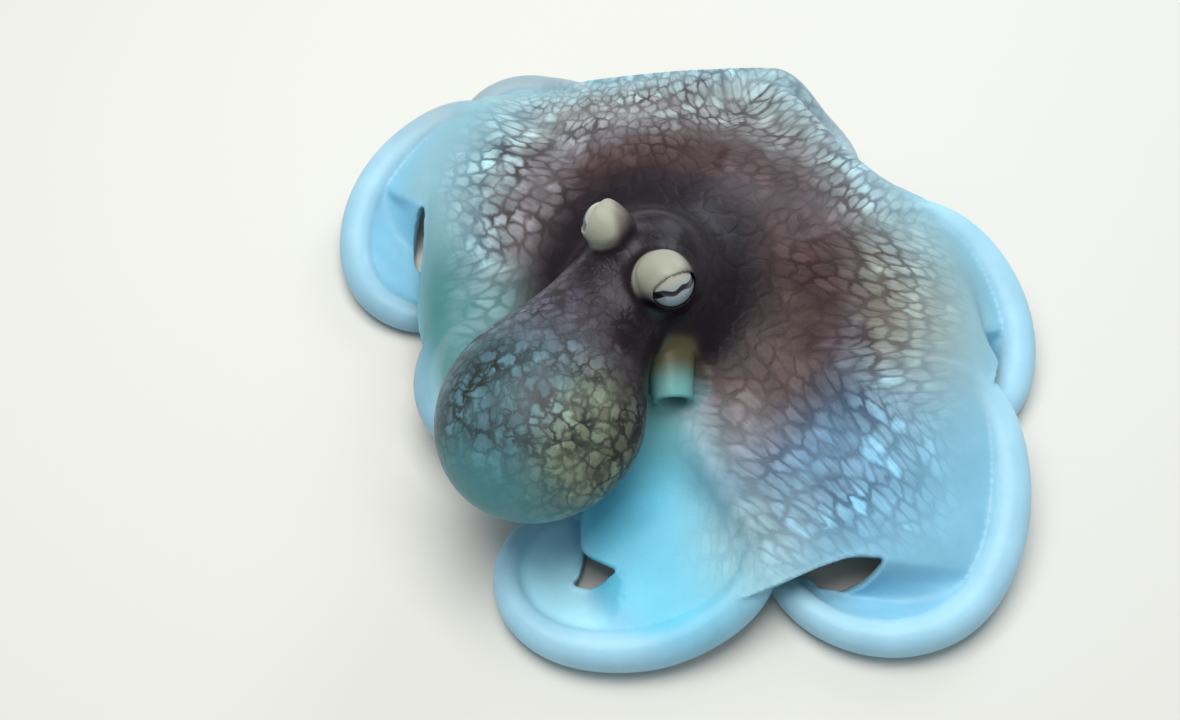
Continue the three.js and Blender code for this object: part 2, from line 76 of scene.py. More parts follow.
def node_centre(node):
    """The middle of a CAD node's box, in millimetres of the frame."""
    low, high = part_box(node)
    return np.array((low + high) / 2) * MM_PER_M


SHIFT = RIGHT_EYE + EYE_STANDS_OUT * unit(RIGHT_LOOK) - node_centre("eye_right")
SHIFT[2] = 0.0
print("shift from body to frame, mm:", SHIFT.round(3))


def to_frame(points):
    """Body millimetres to metres in the frame."""
    return (points - SHIFT) / MM_PER_M


def to_body(points):
    """Metres in the frame to body millimetres."""
    return points * MM_PER_M + SHIFT


# %% [markdown]
# ## Shapes as arrays
# A long or round part is a stack of rings: one row of the array is one ring. A thin part is a
# sheet: a grid of points that gets a top and an underside. Both become closed shells, with
# their ends or rims shut, because only a closed shell has an inside to melt together.

# %% Closed shells from rings
UP = np.array([0.0, 0.0, 1.0])


def ease(x):
    """0 below 0, 1 above 1, and 3x^2 - 2x^3 between them."""
    x = np.clip(x, 0.0, 1.0)
    return x * x * (3 - 2 * x)


def plan(angle):
    """The level unit vector (cos a, sin a, 0)."""
    angle = np.asarray(angle, float)
    return np.stack([np.cos(angle), np.sin(angle), 0 * angle], -1)


def ring_faces(rows, columns):
    """Quads between each ring and the next, and a fan at each end. They face out where the
    rings run left-handed along the stack."""
    row = np.arange(rows - 1)[:, None] * columns
    column = np.arange(columns)[None]
    after = (column + 1) % columns
    quads = np.stack([row + column, row + columns + column, row + columns + after, row + after], -1)
    around = np.arange(columns)
    end = (rows - 1) * columns
    first = np.stack([np.full(columns, rows * columns), around, (around + 1) % columns], -1)
    last = np.stack([np.full(columns, rows * columns + 1), end + (around + 1) % columns, end + around], -1)
    return quads.reshape(-1, 4).tolist() + first.tolist() + last.tolist()


def closed_rings(rings):
    """A shell through rings[row, column], closed at each end by the middle of its last ring."""
    rows, columns, _ = rings.shape
    points = np.vstack([rings.reshape(-1, 3), rings[0].mean(0), rings[-1].mean(0)])
    return points, ring_faces(rows, columns)


# %% Closed shells from sheets
def closed_sheet(grid, thickness):
    """A sheet through grid[row, column], moved half its thickness each way along its normal and
    closed round its rim."""
    rows, columns, _ = grid.shape
    normal = unit(np.cross(np.gradient(grid, axis=0), np.gradient(grid, axis=1)))
    facing = np.sign(normal[..., 2].mean())
    half = normal * facing * np.asarray(thickness)[..., None] / 2
    points = np.vstack([(grid + half).reshape(-1, 3), (grid - half).reshape(-1, 3)])
    under = rows * columns
    corner = (np.arange(rows - 1)[:, None] * columns + np.arange(columns - 1)[None]).ravel()
    top = np.stack([corner, corner + columns, corner + columns + 1, corner + 1], -1)
    rim = np.concatenate([
        np.arange(rows - 1) * columns,
        (rows - 1) * columns + np.arange(columns - 1),
        np.arange(rows - 1, 0, -1) * columns + columns - 1,
        np.arange(columns - 1, 0, -1),
    ])
    after = np.roll(rim, -1)
    side = np.stack([rim, rim + under, after + under, after], -1)
    faces = np.vstack([top, top[:, ::-1] + under, side])
    return points, (faces if facing > 0 else faces[:, ::-1]).tolist()


# %% [markdown]
# ## Arms
# An arm is a line along the body's surface before it is a tube. Seen from above it leaves the
# head, runs out nearly straight, turns back in three bends and ends in a spiral that tightens
# evenly. Seen from the side it drops from the crown of the head to the ground. The line could
# be drawn through chosen points, but then its bends would be as uneven as the points. So it is
# given by how much it bends over each stretch, and adding up the bends gives its path.

# %% The arms' bends
HEAD = np.array([-19.0, 0.0])  # the middle of the ring of arms, in plan
RING_RADIUS = 24.0
VENTRAL_AZIMUTH = 256.0  # degrees; the side on which the mantle and the funnel lie
ARM_TO_ARM = 45.0  # degrees round the ring
CROWN_HEIGHT = 50.0
CROWN_RISE = 12.0  # how much higher the crown is on the side of CROWN_AZIMUTH
CROWN_AZIMUTH = 62.0
ROOT_RADIUS = 9.0
TIP_RADIUS = 1.6
TAPER = 2.2
LANDING_EASE = 1.5
CURVATURE_BLEND = 12.0  # mm each way over which one bend runs into the next
BLEND_SAMPLES = 9
NO_TURN = 1e-6  # degrees, for a straight stretch

# heading at the root; stretches as (length, turn); the tip's turn and last bend radius;
# length at which the arm lands; how late it drops; a raised knuckle as (place, height, width)
ARMS = {
    "R1": (62, [(96, -20), (19, 88), (20, 30), (36, 100)], (420, 5), 130, 2.2, (112, 17, 17)),
    "R2": (26, [(83, -12), (33, 80), (64, 71), (50, 103)], (380, 5), 180, 1.7, None),
    "R3": (-10, [(87, -14), (24, 76), (67, 52), (68, 98)], (380, 5), 192, 1.6, None),
    "R4": (-60, [(63, -3), (24, 78), (65, 60), (51, 104)], (210, 5), 125, 1.3, None),
    "L1": (102, [(95, -5), (29, 59), (22, 57), (28, 68)], (380, 5), 125, 2.2, None),
    "L2": (122, [(91, -17), (22, 91), (87, 98), (30, 60)], (400, 5), 190, 1.8, None),
    "L3": (166, [(18, -18), (26, 70), (32, 72), (26, 70)], (420, 5), 150, 1.3, None),
    "L4": (236, [(14, 0), (18, 60), (20, 80), (18, 60)], (400, 4), 48, 1.0, None),
}


def stretches_of(name):
    """The arm's stretches as (length, first bend radius, last bend radius). The last one is the
    spiral, whose length is its turn x (wide - tight) / ln(wide / tight)."""
    bends, (tip_turn, tight) = ARMS[name][1:3]
    radii = [length / math.radians(turn or NO_TURN) for length, turn in bends]
    wide = radii[-1]
    spiral = math.radians(tip_turn) * (wide - tight) / math.log(wide / tight)
    stretches = [(length, radius, radius) for (length, _), radius in zip(bends, radii)]
    return [*stretches, (spiral, wide, tight)]


print("stretches of R1 as (length, bend radius):", [(round(a), round(b)) for a, b, _ in stretches_of("R1")])


# %% Where the eight arms run
def curvature(stretches, s):
    """1 / bend radius at length s; over a stretch the bend radius runs evenly from first to last."""
    length, first, last = np.array(stretches).T
    start = np.concatenate([[0], np.cumsum(length)[:-1]])
    k = np.clip(np.searchsorted(start, s, side="right") - 1, 0, len(length) - 1)
    share = np.clip((s - start[k]) / length[k], 0, 1)
    return 1 / (first[k] + (last[k] - first[k]) * share)


def arm_path(name):
    """The arm's line in steps of about 1 mm: its heading is the sum of curvature x step, and its
    place is the sum of heading x step. Its height eases down from the crown to the ground."""
    heading, _, _, landing, flare, knuckle = ARMS[name]
    side = -1 if name[0] == "R" else 1
    stretches = stretches_of(name)
    total = sum(part[0] for part in stretches)
    count = math.ceil(total)
    s = np.linspace(0, total, count + 1)
    step = total / count
    around = np.linspace(-CURVATURE_BLEND, CURVATURE_BLEND, BLEND_SAMPLES)[:, None]
    middle = np.clip((s[1:] - step / 2)[None] + around, 0, total)
    turned = side * curvature(stretches, middle).mean(0) * step
    angle = math.radians(heading) + np.concatenate([[0], np.cumsum(turned)])
    azimuth = math.radians(VENTRAL_AZIMUTH - 180 + side * ARM_TO_ARM * (int(name[1]) - 0.5))
    root = np.append(HEAD, 0) + RING_RADIUS * plan(azimuth)
    centre = root + np.vstack([np.zeros(3), np.cumsum(plan(angle[1:] - turned / 2) * step, 0)])
    radius = TIP_RADIUS + (ROOT_RADIUS - TIP_RADIUS) * (1 - (s / total) ** TAPER)
    crown = CROWN_HEIGHT + CROWN_RISE * math.cos(azimuth - math.radians(CROWN_AZIMUTH))
    landed = np.minimum(s / landing, 1)
    centre[:, 2] = radius + (crown - 2 * ROOT_RADIUS) * (1 - landed**flare) ** LANDING_EASE
    if knuckle:
        place, height, width = knuckle
        centre[:, 2] += height * np.exp(-(((s - place) / width) ** 2))
    return {"s": s, "centre": centre, "angle": angle, "radius": radius, "side": side, "total": total}


paths = {name: arm_path(name) for name in ARMS}
print("arm lengths, mm:", {name: round(path["total"]) for name, path in paths.items()})


# %% Places along an arm
def along(path, s):
    """Centre, heading, radius and the level direction towards the arm's curled side, at lengths s."""
    s = np.asarray(s, float)
    centre = np.stack([np.interp(s, path["s"], path["centre"][:, k]) for k in range(3)], -1)
    angle = np.interp(s, path["s"], path["angle"])
    radius = np.interp(s, path["s"], path["radius"])
    return centre, angle, radius, plan(angle + path["side"] * math.pi / 2)


def sections(path, s):
    """Centres, radii and the three directions of the sections at lengths s: ahead along the
    arm, aside, and over its back."""
    centre, angle, radius, _ = along(path, s)
    slope = (along(path, s + 1)[0][:, 2] - along(path, s - 1)[0][:, 2]) / 2
    ahead = unit(plan(angle) + slope[:, None] * UP)
    aside = unit(np.cross(UP, ahead))
    return centre, radius, ahead, aside, np.cross(ahead, aside)


root_heights = {name: round(float(along(path, 0)[0][2])) for name, path in paths.items()}
print("heights of the arms' roots, mm:", root_heights)

# %% [markdown]
# ## Tags
# Each point of each shell carries a few numbers that say where on the animal it lies, such as
# whether it is on an arm or under a web. A painted picture would have to be wrapped round the
# body afterwards, but the melting keeps these numbers, so the colours can follow the anatomy.

# %% Shells and their tags
# 1 on an arm, a frill (lip), the mantle, the funnel or an orbit; `under` is 1 on a sheet's lower
# side, and on an arm the cosine of the angle from its sole's middle
TAGS = ["arm", "under", "lip", "mantle", "funnel", "orbit"]
shells = []


def add_shell(shell, **tags):
    """Keeps a closed shell, with one column of numbers for each tag."""
    points, faces = shell
    columns = [np.broadcast_to(np.asarray(tags.get(tag, 0.0), float).ravel(), len(points)) for tag in TAGS]
    shells.append((points, faces, np.stack(columns, -1)))


def with_ends(values):
    """A grid of tag values, and the two end points that close a stack of rings."""
    return np.concatenate([values.ravel(), [values[0].mean(), values[-1].mean()]])


print("tags:", TAGS)

# %% Arms as shells
ARM_SIDES = 32
ARM_SPACING = 1.5  # from one ring to the next
SOLE = 0.2  # share of the radius by which the sucker-bearing side is sunk
SOLE_EDGE = math.cos(math.radians(75))  # the sole ends 75 degrees from its middle
SOLE_FADE = 0.5  # cosine from its edge to where it is sunk fully
SOLE_ROLL = 42.0  # degrees by which the sole turns outwards
ROLL_STARTS = 95.0  # along the arm
ROLL_LENGTH = 50.0
TIP_SHRINKS = 0.3  # the last ring's size, and how far on it is moved, as shares of its radius
TIP_MOVES = 0.7


def roll(s):
    """How far the arm's sole is rolled outwards from straight down, at length s."""
    return math.radians(SOLE_ROLL) * ease((s - ROLL_STARTS) / ROLL_LENGTH)


def arm_rings(path):
    """Rings of radius r (1 - SOLE w), where w is 1 within 40 degrees of the sole's middle and
    fades out by 75; and the cosine of each point's angle from that middle."""
    s = np.linspace(0, path["total"], int(path["total"] / ARM_SPACING))
    centre, radius, ahead, aside, over = sections(path, s)
    turn = np.linspace(0, 2 * np.pi, ARM_SIDES, endpoint=False)
    down = -np.sin(turn[None] - path["side"] * roll(s)[:, None])
    reach = radius[:, None] * (1 - SOLE * ease((down - SOLE_EDGE) / SOLE_FADE))
    rings = centre[:, None] + reach[..., None] * (
        np.cos(turn)[None, :, None] * aside[:, None] + np.sin(turn)[None, :, None] * over[:, None]
    )
    rings[-1] = centre[-1] + (rings[-1] - centre[-1]) * TIP_SHRINKS + ahead[-1] * radius[-1] * TIP_MOVES
    return rings, np.broadcast_to(down, reach.shape)


for path in paths.values():
    rings, down = arm_rings(path)
    add_shell(closed_rings(rings), arm=1.0, under=with_ends(down))
print("arm shells:", len(shells), "points:", sum(len(shell[0]) for shell in shells))

# %% [markdown]
# ## Webs
# The web between two arms is a sheet of skin stretched from the shoulder of one to the shoulder
# of the next, and it billows between them. It ends in a free margin. Past the margin it goes on
# as a narrow frill along one arm, which is what makes the cupped lobes round the rim. Cloth
# could be draped over the arms, but living webs are held open by muscle, so straight lines from
# arm to arm that are raised into a bulge come closer, and they stay exact.

# %% The webs' lengths
# arms: the two that it hangs between; reach: the length along each at which the margin meets it;
# bulge: at the root and at the margin; margin: its offsets away from the head, as (share across,
# mm); parting: the share across at which the frill leaves it; slit: the gap there, as (heading in
# degrees, length, depth); onward: how far the frill's edge then runs along and away; run: how
# far the frill goes along the first arm
WEBS = {
    "right_12": {"arms": ("R1", "R2"), "reach": (146, 100), "bulge": (1, 2), "margin": [(0.5, -4)],
                 "parting": 0.15, "slit": (278, 8, 1), "onward": (14, -4), "run": 36},
    "right_23": {"arms": ("R2", "R3"), "reach": (155, 106), "bulge": (1, 3),
                 "margin": [(0.18, -8), (0.48, -5), (0.72, 0)],
                 "parting": 0.18, "slit": (280, 10, 2.4), "onward": (15, -4), "run": 60},
    "right_34": {"arms": ("R3", "R4"), "reach": (174, 92), "bulge": (1.5, 5),
                 "margin": [(0.38, -6), (0.5, -8.5), (0.66, -6), (0.83, -2)],
                 "parting": 0.38, "slit": (180, 25, 5.3), "onward": (14, -6), "run": 110},
    "ventral": {"arms": ("R4", "L4"), "reach": (134, 36), "bulge": (-4, 2),
                "margin": [(0.33, -4.5), (0.42, 10), (0.66, 8.5)],
                "parting": 0.33, "slit": (180, 15, 2.8), "onward": (-5, -24), "run": 95},
    "left_12": {"arms": ("L1", "L2"), "reach": (148, 104), "bulge": (1, 2), "margin": [],
                "parting": 0.2, "slit": (240, 8, 1), "onward": (14, -4), "run": 50},
    "left_23": {"arms": ("L2", "L3"), "reach": (152, 82), "bulge": (1, 3),
                "margin": [(0.15, -13), (0.36, -8), (0.65, 1)],
                "parting": 0.15, "slit": (268, 22, 3.8), "onward": (16, -6), "run": 80},
    "left_34": {"arms": ("L3", "L4"), "reach": (78, 26), "bulge": (2, 3), "margin": [],
                "parting": 0.2, "slit": (0, 8, 1), "onward": (12, -4), "run": 30},
    "dorsal": {"arms": ("L1", "R1"), "reach": (112, 110), "bulge": (1, 1), "margin": [(0.5, 1)]},
}
print("widest reach of a web along an arm, mm:", max(max(web["reach"]) for web in WEBS.values()))

# %% Webs as sheets
LET_IN = (0.85, 0.88)  # shares of the arm's radius, sideways and up, at which a web meets it
WEB_FAN = 1.35  # how much faster a web's rows move along its second arm at first
ROOT_LEAN = 18.0  # degrees from the arm's top at which a web leaves it by the head
VENTRAL_ROOT_LEAN = 35.0
RIM_LEAN = 66.0
LEAN_STARTS = 85.0  # along the arm
LEAN_LENGTH = 65.0
BULGE_STARTS = 0.3  # share of the rows over which the bulge comes in
MARGIN_BLEND = np.linspace(-0.06, 0.06, 7)[:, None]  # shares across over which it is averaged


def shoulder(path, s, side, lean):
    """A point let into the arm, `lean` radians from its top towards `side` of its curl."""
    centre, _, radius, inward = along(path, s)
    aside = (side * radius * LET_IN[0] * np.sin(lean))[:, None] * inward
    return centre + aside + (radius * LET_IN[1] * np.cos(lean))[:, None] * UP


def lean_at(s, root):
    """Radians from the arm's top: `root` degrees by the head, eased to RIM_LEAN on the rim."""
    return np.radians(root + (RIM_LEAN - root) * ease((s - LEAN_STARTS) / LEAN_LENGTH))


def web_grid(name, rows=90, columns=60):
    """Row t runs from one arm to the next: a straight line, raised by bulge x 4v(1 - v) and
    moved away from the head by the margin's offset x t^3."""
    web = WEBS[name]
    first, second = [paths[arm] for arm in web["arms"]]
    t = np.linspace(0, 1, rows)
    s = web["reach"][0] * t
    r = web["reach"][1] * (1 - (1 - t) ** WEB_FAN)
    root = VENTRAL_ROOT_LEAN if name == "ventral" else ROOT_LEAN
    start = shoulder(first, s, -1 if name == "dorsal" else 1, lean_at(s, root))
    end = shoulder(second, r, 1 if name == "ventral" else -1, lean_at(r, root))
    v = np.linspace(0, 1, columns)
    bow = 4 * v * (1 - v)
    grid = start[:, None] + (end - start)[:, None] * v[None, :, None]
    low, high = web["bulge"]
    lift = (low + (high - low) * t) * ease(t / BULGE_STARTS)
    grid[..., 2] += lift[:, None] * bow
    chord = end[-1] - start[-1]
    away = unit(np.array([-chord[1], chord[0], 0]))
    inner = (start[rows // 2] + end[rows // 2]) / 2
    away = away * np.sign(((start[-1] + end[-1]) / 2 - inner) @ away)
    places, offsets = np.array([(0, 0), *web["margin"], (1, 0)], float).T
    offset = np.interp(np.clip(v + MARGIN_BLEND, 0, 1), places, offsets).mean(0) * ease(bow * 2)
    return grid + (t**3)[:, None, None] * offset[None, :, None] * away, t, away


margins = {name: web_grid(name)[0][-1] for name in WEBS}
print("free margins' spans, mm:", {name: round(math.dist(row[0], row[-1])) for name, row in margins.items()})

# %% Frills as sheets
FRILL_HEIGHT = 5.0
FRILL_SAG = 1.5
FRILL_CLEAR = 2.0  # the lowest that its middle plane comes to the ground
FRILL_DROPS = 0.3  # share of the frill over which its edge comes down
FRILL_JOINS = 0.12  # share of the frill over which it leaves the margin's curve
FRILL_SPREAD = 1.2  # power by which its rows are closer near the margin
FRILL_STOPS = 12.0  # before the arm's tip
SLIT_SHARE = 0.55  # share of the frill's edge that borders the slit


def at_row(row, place):
    """The points at fractional places along a row of points."""
    return np.stack([np.interp(place, np.arange(len(row)), row[:, k]) for k in range(3)], -1)


def frill_grid(name, margin, away, rows=110, columns=16):
    """Rows run from the arm's side to an edge that starts at the parting point, goes half round
    an ellipse as long and deep as the slit, and then runs on. The first row is the margin's own
    curve, so that web and frill are one surface up to the parting point."""
    web = WEBS[name]
    path = paths[web["arms"][0]]
    place = web["parting"] * (len(margin) - 1)
    start = at_row(margin, place)
    heading, length, depth = web["slit"]
    chord = plan(math.radians(heading))
    outward = np.cross(UP, chord)
    outward = outward * np.sign(outward @ away)
    f = np.linspace(0, 1, rows)
    first = web["reach"][0]
    last = min(first + web["run"], path["total"] - FRILL_STOPS)
    root = shoulder(path, first + (last - first) * f**FRILL_SPREAD, 1, np.full(rows, math.radians(RIM_LEAN)))
    turn = np.pi * np.minimum(f / SLIT_SHARE, 1)
    after = np.maximum(f - SLIT_SHARE, 0) / (1 - SLIT_SHARE) * np.pi / 2
    ahead = length / 2 * (1 - np.cos(turn)) + web["onward"][0] * np.sin(after)
    out = depth * np.sin(turn) + web["onward"][1] * (1 - np.cos(after))
    edge = start + ahead[:, None] * chord + out[:, None] * outward
    edge[:, 2] = FRILL_HEIGHT + (start[2] - FRILL_HEIGHT) * (1 - ease(f / FRILL_DROPS))
    v = np.linspace(0, 1, columns)
    frill = root[:, None] + (edge - root)[:, None] * v[None, :, None]
    curve = at_row(margin, v * place)
    frill = frill + (1 - ease(f / FRILL_JOINS))[:, None, None] * (curve - frill[0])[None]
    sag = FRILL_SAG * ease(f / FRILL_JOINS)[:, None] * 4 * v * (1 - v)
    frill[..., 2] = np.maximum(frill[..., 2] - sag, FRILL_CLEAR)
    return frill, v


# %% Webs and frills as shells
WEB_THICKNESS = 2.4
MARGIN_CORD = 1.0  # how much thicker the free margin is
WEB_CORD = (0.955, 0.03)  # share of the rows at which the cord starts, and over which it comes in
FRILL_CORD = (0.85, 0.15)
CORD_PARTS = 0.08  # share across over which the cord comes in past the parting point


def sheet_shell(grid, cord, **tags):
    """Keeps a sheet as a shell, thicker by MARGIN_CORD where `cord` is 1; its lower half is under."""
    half = grid.shape[0] * grid.shape[1]
    under = np.concatenate([np.zeros(half), np.ones(half)])
    add_shell(closed_sheet(grid, WEB_THICKNESS + MARGIN_CORD * cord), under=under, **tags)


for name, web in WEBS.items():
    grid, t, away = web_grid(name)
    across = np.linspace(0, 1, grid.shape[1])
    free = ease((across - web.get("parting", 0)) / CORD_PARTS)
    sheet_shell(grid, ease((t[:, None] - WEB_CORD[0]) / WEB_CORD[1]) * free)
    if "parting" in web:
        frill, v = frill_grid(name, grid[-1], away)
        cord = ease((np.broadcast_to(v[None], frill.shape[:2]) - FRILL_CORD[0]) / FRILL_CORD[1])
        sheet_shell(frill, cord, lip=1.0)
print("web and frill shells:", len(shells) - len(paths))

# %% [markdown]
# ## Head, mantle and funnel
# The head is a dome that leans back with the ring of arms. The mantle, the sac that holds the
# organs, hangs from it by a narrower neck and swells to a round end. The funnel is the short
# pipe beside the neck that the animal breathes and jets through. Balls and cones could be
# pulled to these shapes, but each of them has an axis and a changing width, and a profile
# carried along an axis says just that.

# %% The head's dome
HEAD_HEIGHTS = [30, 34, 40, 46, 50, 53, 57, 62, 67, 72, 76, 78]
HEAD_RADII = [8, 15, 21, 27, 29.5, 27.5, 25, 23, 20, 15, 8, 3]
SMOOTHING = np.hanning(9)[1:-1] / np.hanning(9).sum()  # weights of seven neighbouring rings


def head_rings(rows=60, columns=96):
    """Level circles of the smoothed radii, each sheared upwards towards the crown's azimuth."""
    height = np.linspace(HEAD_HEIGHTS[0], HEAD_HEIGHTS[-1], rows)
    radius = np.interp(height, HEAD_HEIGHTS, HEAD_RADII)
    radius = np.convolve(np.pad(radius, len(SMOOTHING) // 2, "edge"), SMOOTHING, "valid")
    turn = np.linspace(0, 2 * np.pi, columns, endpoint=False)
    ring = np.append(HEAD, 0) + radius[:, None, None] * plan(turn)[None]
    shear = CROWN_RISE / RING_RADIUS * radius[:, None] * np.cos(turn - math.radians(CROWN_AZIMUTH))
    ring[..., 2] = height[:, None] + shear
    return ring


add_shell(closed_rings(head_rings()))
print("head from", HEAD_HEIGHTS[0], "to", HEAD_HEIGHTS[-1], "mm above the ground")

# %% The mantle's sac and the funnel's pipe
MANTLE_NECK = np.array([-28.0, -1.0, 60.0])
MANTLE_TIP = np.array([-72.0, -87.0, 46.0])
MANTLE_HALF = (35.7, 24.5)  # half its greatest width and height
MANTLE_NECK_SHARE = 0.55
MANTLE_WIDEST = 0.6  # share of its length
MANTLE_END = 0.999  # share of its length at which the last ring lies
FUNNEL_BASE = np.array([-10.5, -14.0, 48.0])
FUNNEL_AXIS = unit(np.array([0.05, -0.97, -0.3]))
FUNNEL_LENGTH = 27.0
FUNNEL_PLACES = np.array([0, 6, 12, 18, 24, 28, 29.6, 30, 29.8, 28, 24, 18]) / 30  # shares of its length
FUNNEL_RADII = np.array([9.5, 9.2, 8.8, 8.2, 7.6, 7.2, 6.9, 6.2, 5.4, 4.9, 4.5, 4.0])
FUNNEL_FLATNESS = 0.92


def axis_rings(base, axis, place, wide, high, columns):
    """Ovals of half sizes wide and high, at distances `place` along an axis from its base."""
    aside = unit(np.cross(UP, axis))
    over = np.cross(axis, aside)
    turn = np.linspace(0, 2 * np.pi, columns, endpoint=False)
    oval = np.cos(turn)[None, :, None] * aside * wide[:, None, None]
    oval = oval + np.sin(turn)[None, :, None] * over * high[:, None, None]
    return base + place[:, None, None] * axis + oval


def mantle_rings(rows=90, columns=110):
    """The share of the widest section is eased from the neck's share up to 1 at MANTLE_WIDEST,
    and then follows a quarter ellipse down to the round end."""
    axis = MANTLE_TIP - MANTLE_NECK
    length = np.linalg.norm(axis)
    t = np.sin(np.linspace(0, np.pi / 2, rows)) * MANTLE_END
    swell = MANTLE_NECK_SHARE + (1 - MANTLE_NECK_SHARE) * ease(t / MANTLE_WIDEST)
    past = (t - MANTLE_WIDEST) / (1 - MANTLE_WIDEST)
    share = np.where(t > MANTLE_WIDEST, np.sqrt(np.maximum(1 - past**2, 0)), swell)
    wide, high = MANTLE_HALF
    return axis_rings(MANTLE_NECK, axis / length, t * length, share * wide, share * high, columns)


def funnel_rings(columns=40):
    """Outside from base to mouth, round the lip, and back down the bore."""
    place = FUNNEL_PLACES * FUNNEL_LENGTH
    return axis_rings(FUNNEL_BASE, FUNNEL_AXIS, place, FUNNEL_RADII, FUNNEL_RADII * FUNNEL_FLATNESS, columns)


add_shell(closed_rings(mantle_rings()), mantle=1.0)
add_shell(closed_rings(funnel_rings()), funnel=1.0)
print("mantle from neck to tip, mm:", round(math.dist(MANTLE_TIP, MANTLE_NECK), 1))

# %% [markdown]
# ## Orbits
# Each eye sits in a raised knob of skin with an oval opening. A hole could be cut into a ball,
# but a lid is rolled and has a thickness. So the knob is a bowl: its profile runs over the
# outside, rolls round the lid's edge and comes back along the eyeball. The opening is wider
# than it is high, so the lid's edge is at a different angle all the way round.

# %% The eyes' directions
# the knob's middle, and the way in which the eye stands out; the eyeball's and the knob's radius;
# degrees by which the eye looks back along its slit; the way that the knob's lit side faces, which
# keeps the cream colour while painted shade turns the far side black
EYES = {
    "right": {"orbit": RIGHT_EYE, "look": unit(RIGHT_LOOK), "eye": 8.4, "knob": 10.4, "turn": 15.0,
              "cream": unit(np.array([-0.46, 0.1, 0.88]))},
    "left": {"orbit": LEFT_EYE, "look": unit(LEFT_LOOK), "eye": 7.6, "knob": 9.0, "turn": -15.0,
             "cream": unit(np.array([-0.52, -0.06, 0.85]))},
}


def eye_frame(eye):
    """The way the eye looks, which is `turn` degrees back along its slit from the way it stands
    out; the direction of the slit; and the direction up across it."""
    level = unit(np.cross(UP, eye["look"]))
    turn = math.radians(eye["turn"])
    look = math.cos(turn) * eye["look"] - math.sin(turn) * level
    slit = math.cos(turn) * level + math.sin(turn) * eye["look"]
    return look, slit, np.cross(look, slit)


def ball_middle(eye):
    """The middle of the eyeball."""
    return eye["orbit"] + EYE_STANDS_OUT * eye["look"]


print("eyes look along:", {side: eye_frame(eye)[0].round(2).tolist() for side, eye in EYES.items()})

# %% Orbits as bowls
OPENING = (66.0, 46.0)  # half angles of the opening, along and across the eye's slit
SOCKET = 115.0  # degrees from the look axis to which the bowl's inside reaches
LID_GAP = 0.12  # between the lid and the eyeball
LID_THICKNESS = 0.9
LID_FADE = 0.9  # radians over which the lid runs into the knob
LID_ROLL = 0.05  # radians by which the rolled edge reaches over the opening
BROW_INWARD, BROW_DOWN, BROW_WIDER = 5.0, 8.0, 1.5  # the brow's place and size, from the knob's


def orbit_rings(eye, columns=72):
    """At azimuth a round the look axis, the lid's edge is at the polar angle of an oval. The
    profile goes from the back pole over the outside to it, round it and back inside."""
    look, slit, across = eye_frame(eye)
    turn = np.linspace(0, 2 * np.pi, columns, endpoint=False)
    swing = np.cos(turn)[None, :, None] * slit + np.sin(turn)[None, :, None] * across
    half = np.radians(OPENING)
    edge = 1 / np.sqrt((np.cos(turn) / half[0]) ** 2 + (np.sin(turn) / half[1]) ** 2)[None]
    inner = eye["eye"] + LID_GAP
    ball = ball_middle(eye)

    def place(polar, radius, centre):
        return centre + radius * (np.cos(polar)[..., None] * look + np.sin(polar)[..., None] * swing)

    out = np.linspace(1, 0, 26)[:, None]
    polar = edge + (np.pi - edge) * out**0.9
    near = ease(1 - (polar - edge) / LID_FADE)[..., None]
    outside = place(polar, eye["knob"], eye["orbit"]) * (1 - near)
    outside = outside + place(polar, inner + LID_THICKNESS, ball) * near
    rolled = np.linspace(0.15, 1, 5)[:, None] * np.pi
    radius = inner + LID_THICKNESS * (0.5 + 0.5 * np.cos(rolled))
    lip = place(edge - LID_ROLL * np.sin(rolled), radius[..., None], ball)
    back = np.linspace(0.02, 1, 10)[:, None]
    inside = place(edge + (math.radians(SOCKET) - edge) * back, inner, ball)
    return np.concatenate([outside, lip, inside])


def brow_rings(eye, rows=24, columns=48):
    """A ball of flesh under and inside each knob, which joins the two knobs to the head."""
    towards = unit(np.append(HEAD - eye["orbit"][:2], 0))
    polar = np.linspace(np.pi - 0.05, 0.05, rows)[:, None, None]
    turn = np.linspace(0, 2 * np.pi, columns, endpoint=False)[None]
    direction = np.sin(polar) * plan(turn) + np.cos(polar) * UP
    middle = eye["orbit"] + BROW_INWARD * towards - BROW_DOWN * UP
    return middle + (eye["knob"] + BROW_WIDER) * direction


for eye in EYES.values():
    add_shell(closed_rings(orbit_rings(eye)), orbit=1.0)
    add_shell(closed_rings(brow_rings(eye)))
print("orbit knobs, mm:", {side: eye["knob"] for side, eye in EYES.items()})

# %% [markdown]
# ## Meshes as arrays
# Blender holds a mesh's numbers in lists of its own. Going through them point by point is slow,
# so each list is read and written in one step, as a whole array.

# %% Reading and writing meshes
def new_object(name, points, faces):
    """An object at the origin whose mesh holds the points, given in body millimetres."""
    mesh = bpy.data.meshes.new(name)
    mesh.from_pydata(to_frame(points).tolist(), [], faces)
    mesh.update()
    piece = bpy.data.objects.new(name, mesh)
    bpy.context.scene.collection.objects.link(piece)
    return piece


def write_attribute(mesh, name, values, kind="FLOAT"):
    """One number (or vector) for each vertex."""
    attribute = mesh.attributes.get(name) or mesh.attributes.new(name, kind, "POINT")
    field = "value" if kind == "FLOAT" else "vector"
    attribute.data.foreach_set(field, np.ascontiguousarray(values, np.float32).ravel())


def read_attribute(mesh, name):
    """The numbers of a float attribute, as an array."""
    values = np.zeros(len(mesh.vertices), np.float32)
    mesh.attributes[name].data.foreach_get("value", values)
    return values.astype(float)


def points_of(mesh):
    """A mesh's vertices in body millimetres."""
    flat = np.zeros(len(mesh.vertices) * 3, np.float32)
    mesh.vertices.foreach_get("co", flat)
    return to_body(flat.reshape(-1, 3).astype(float))


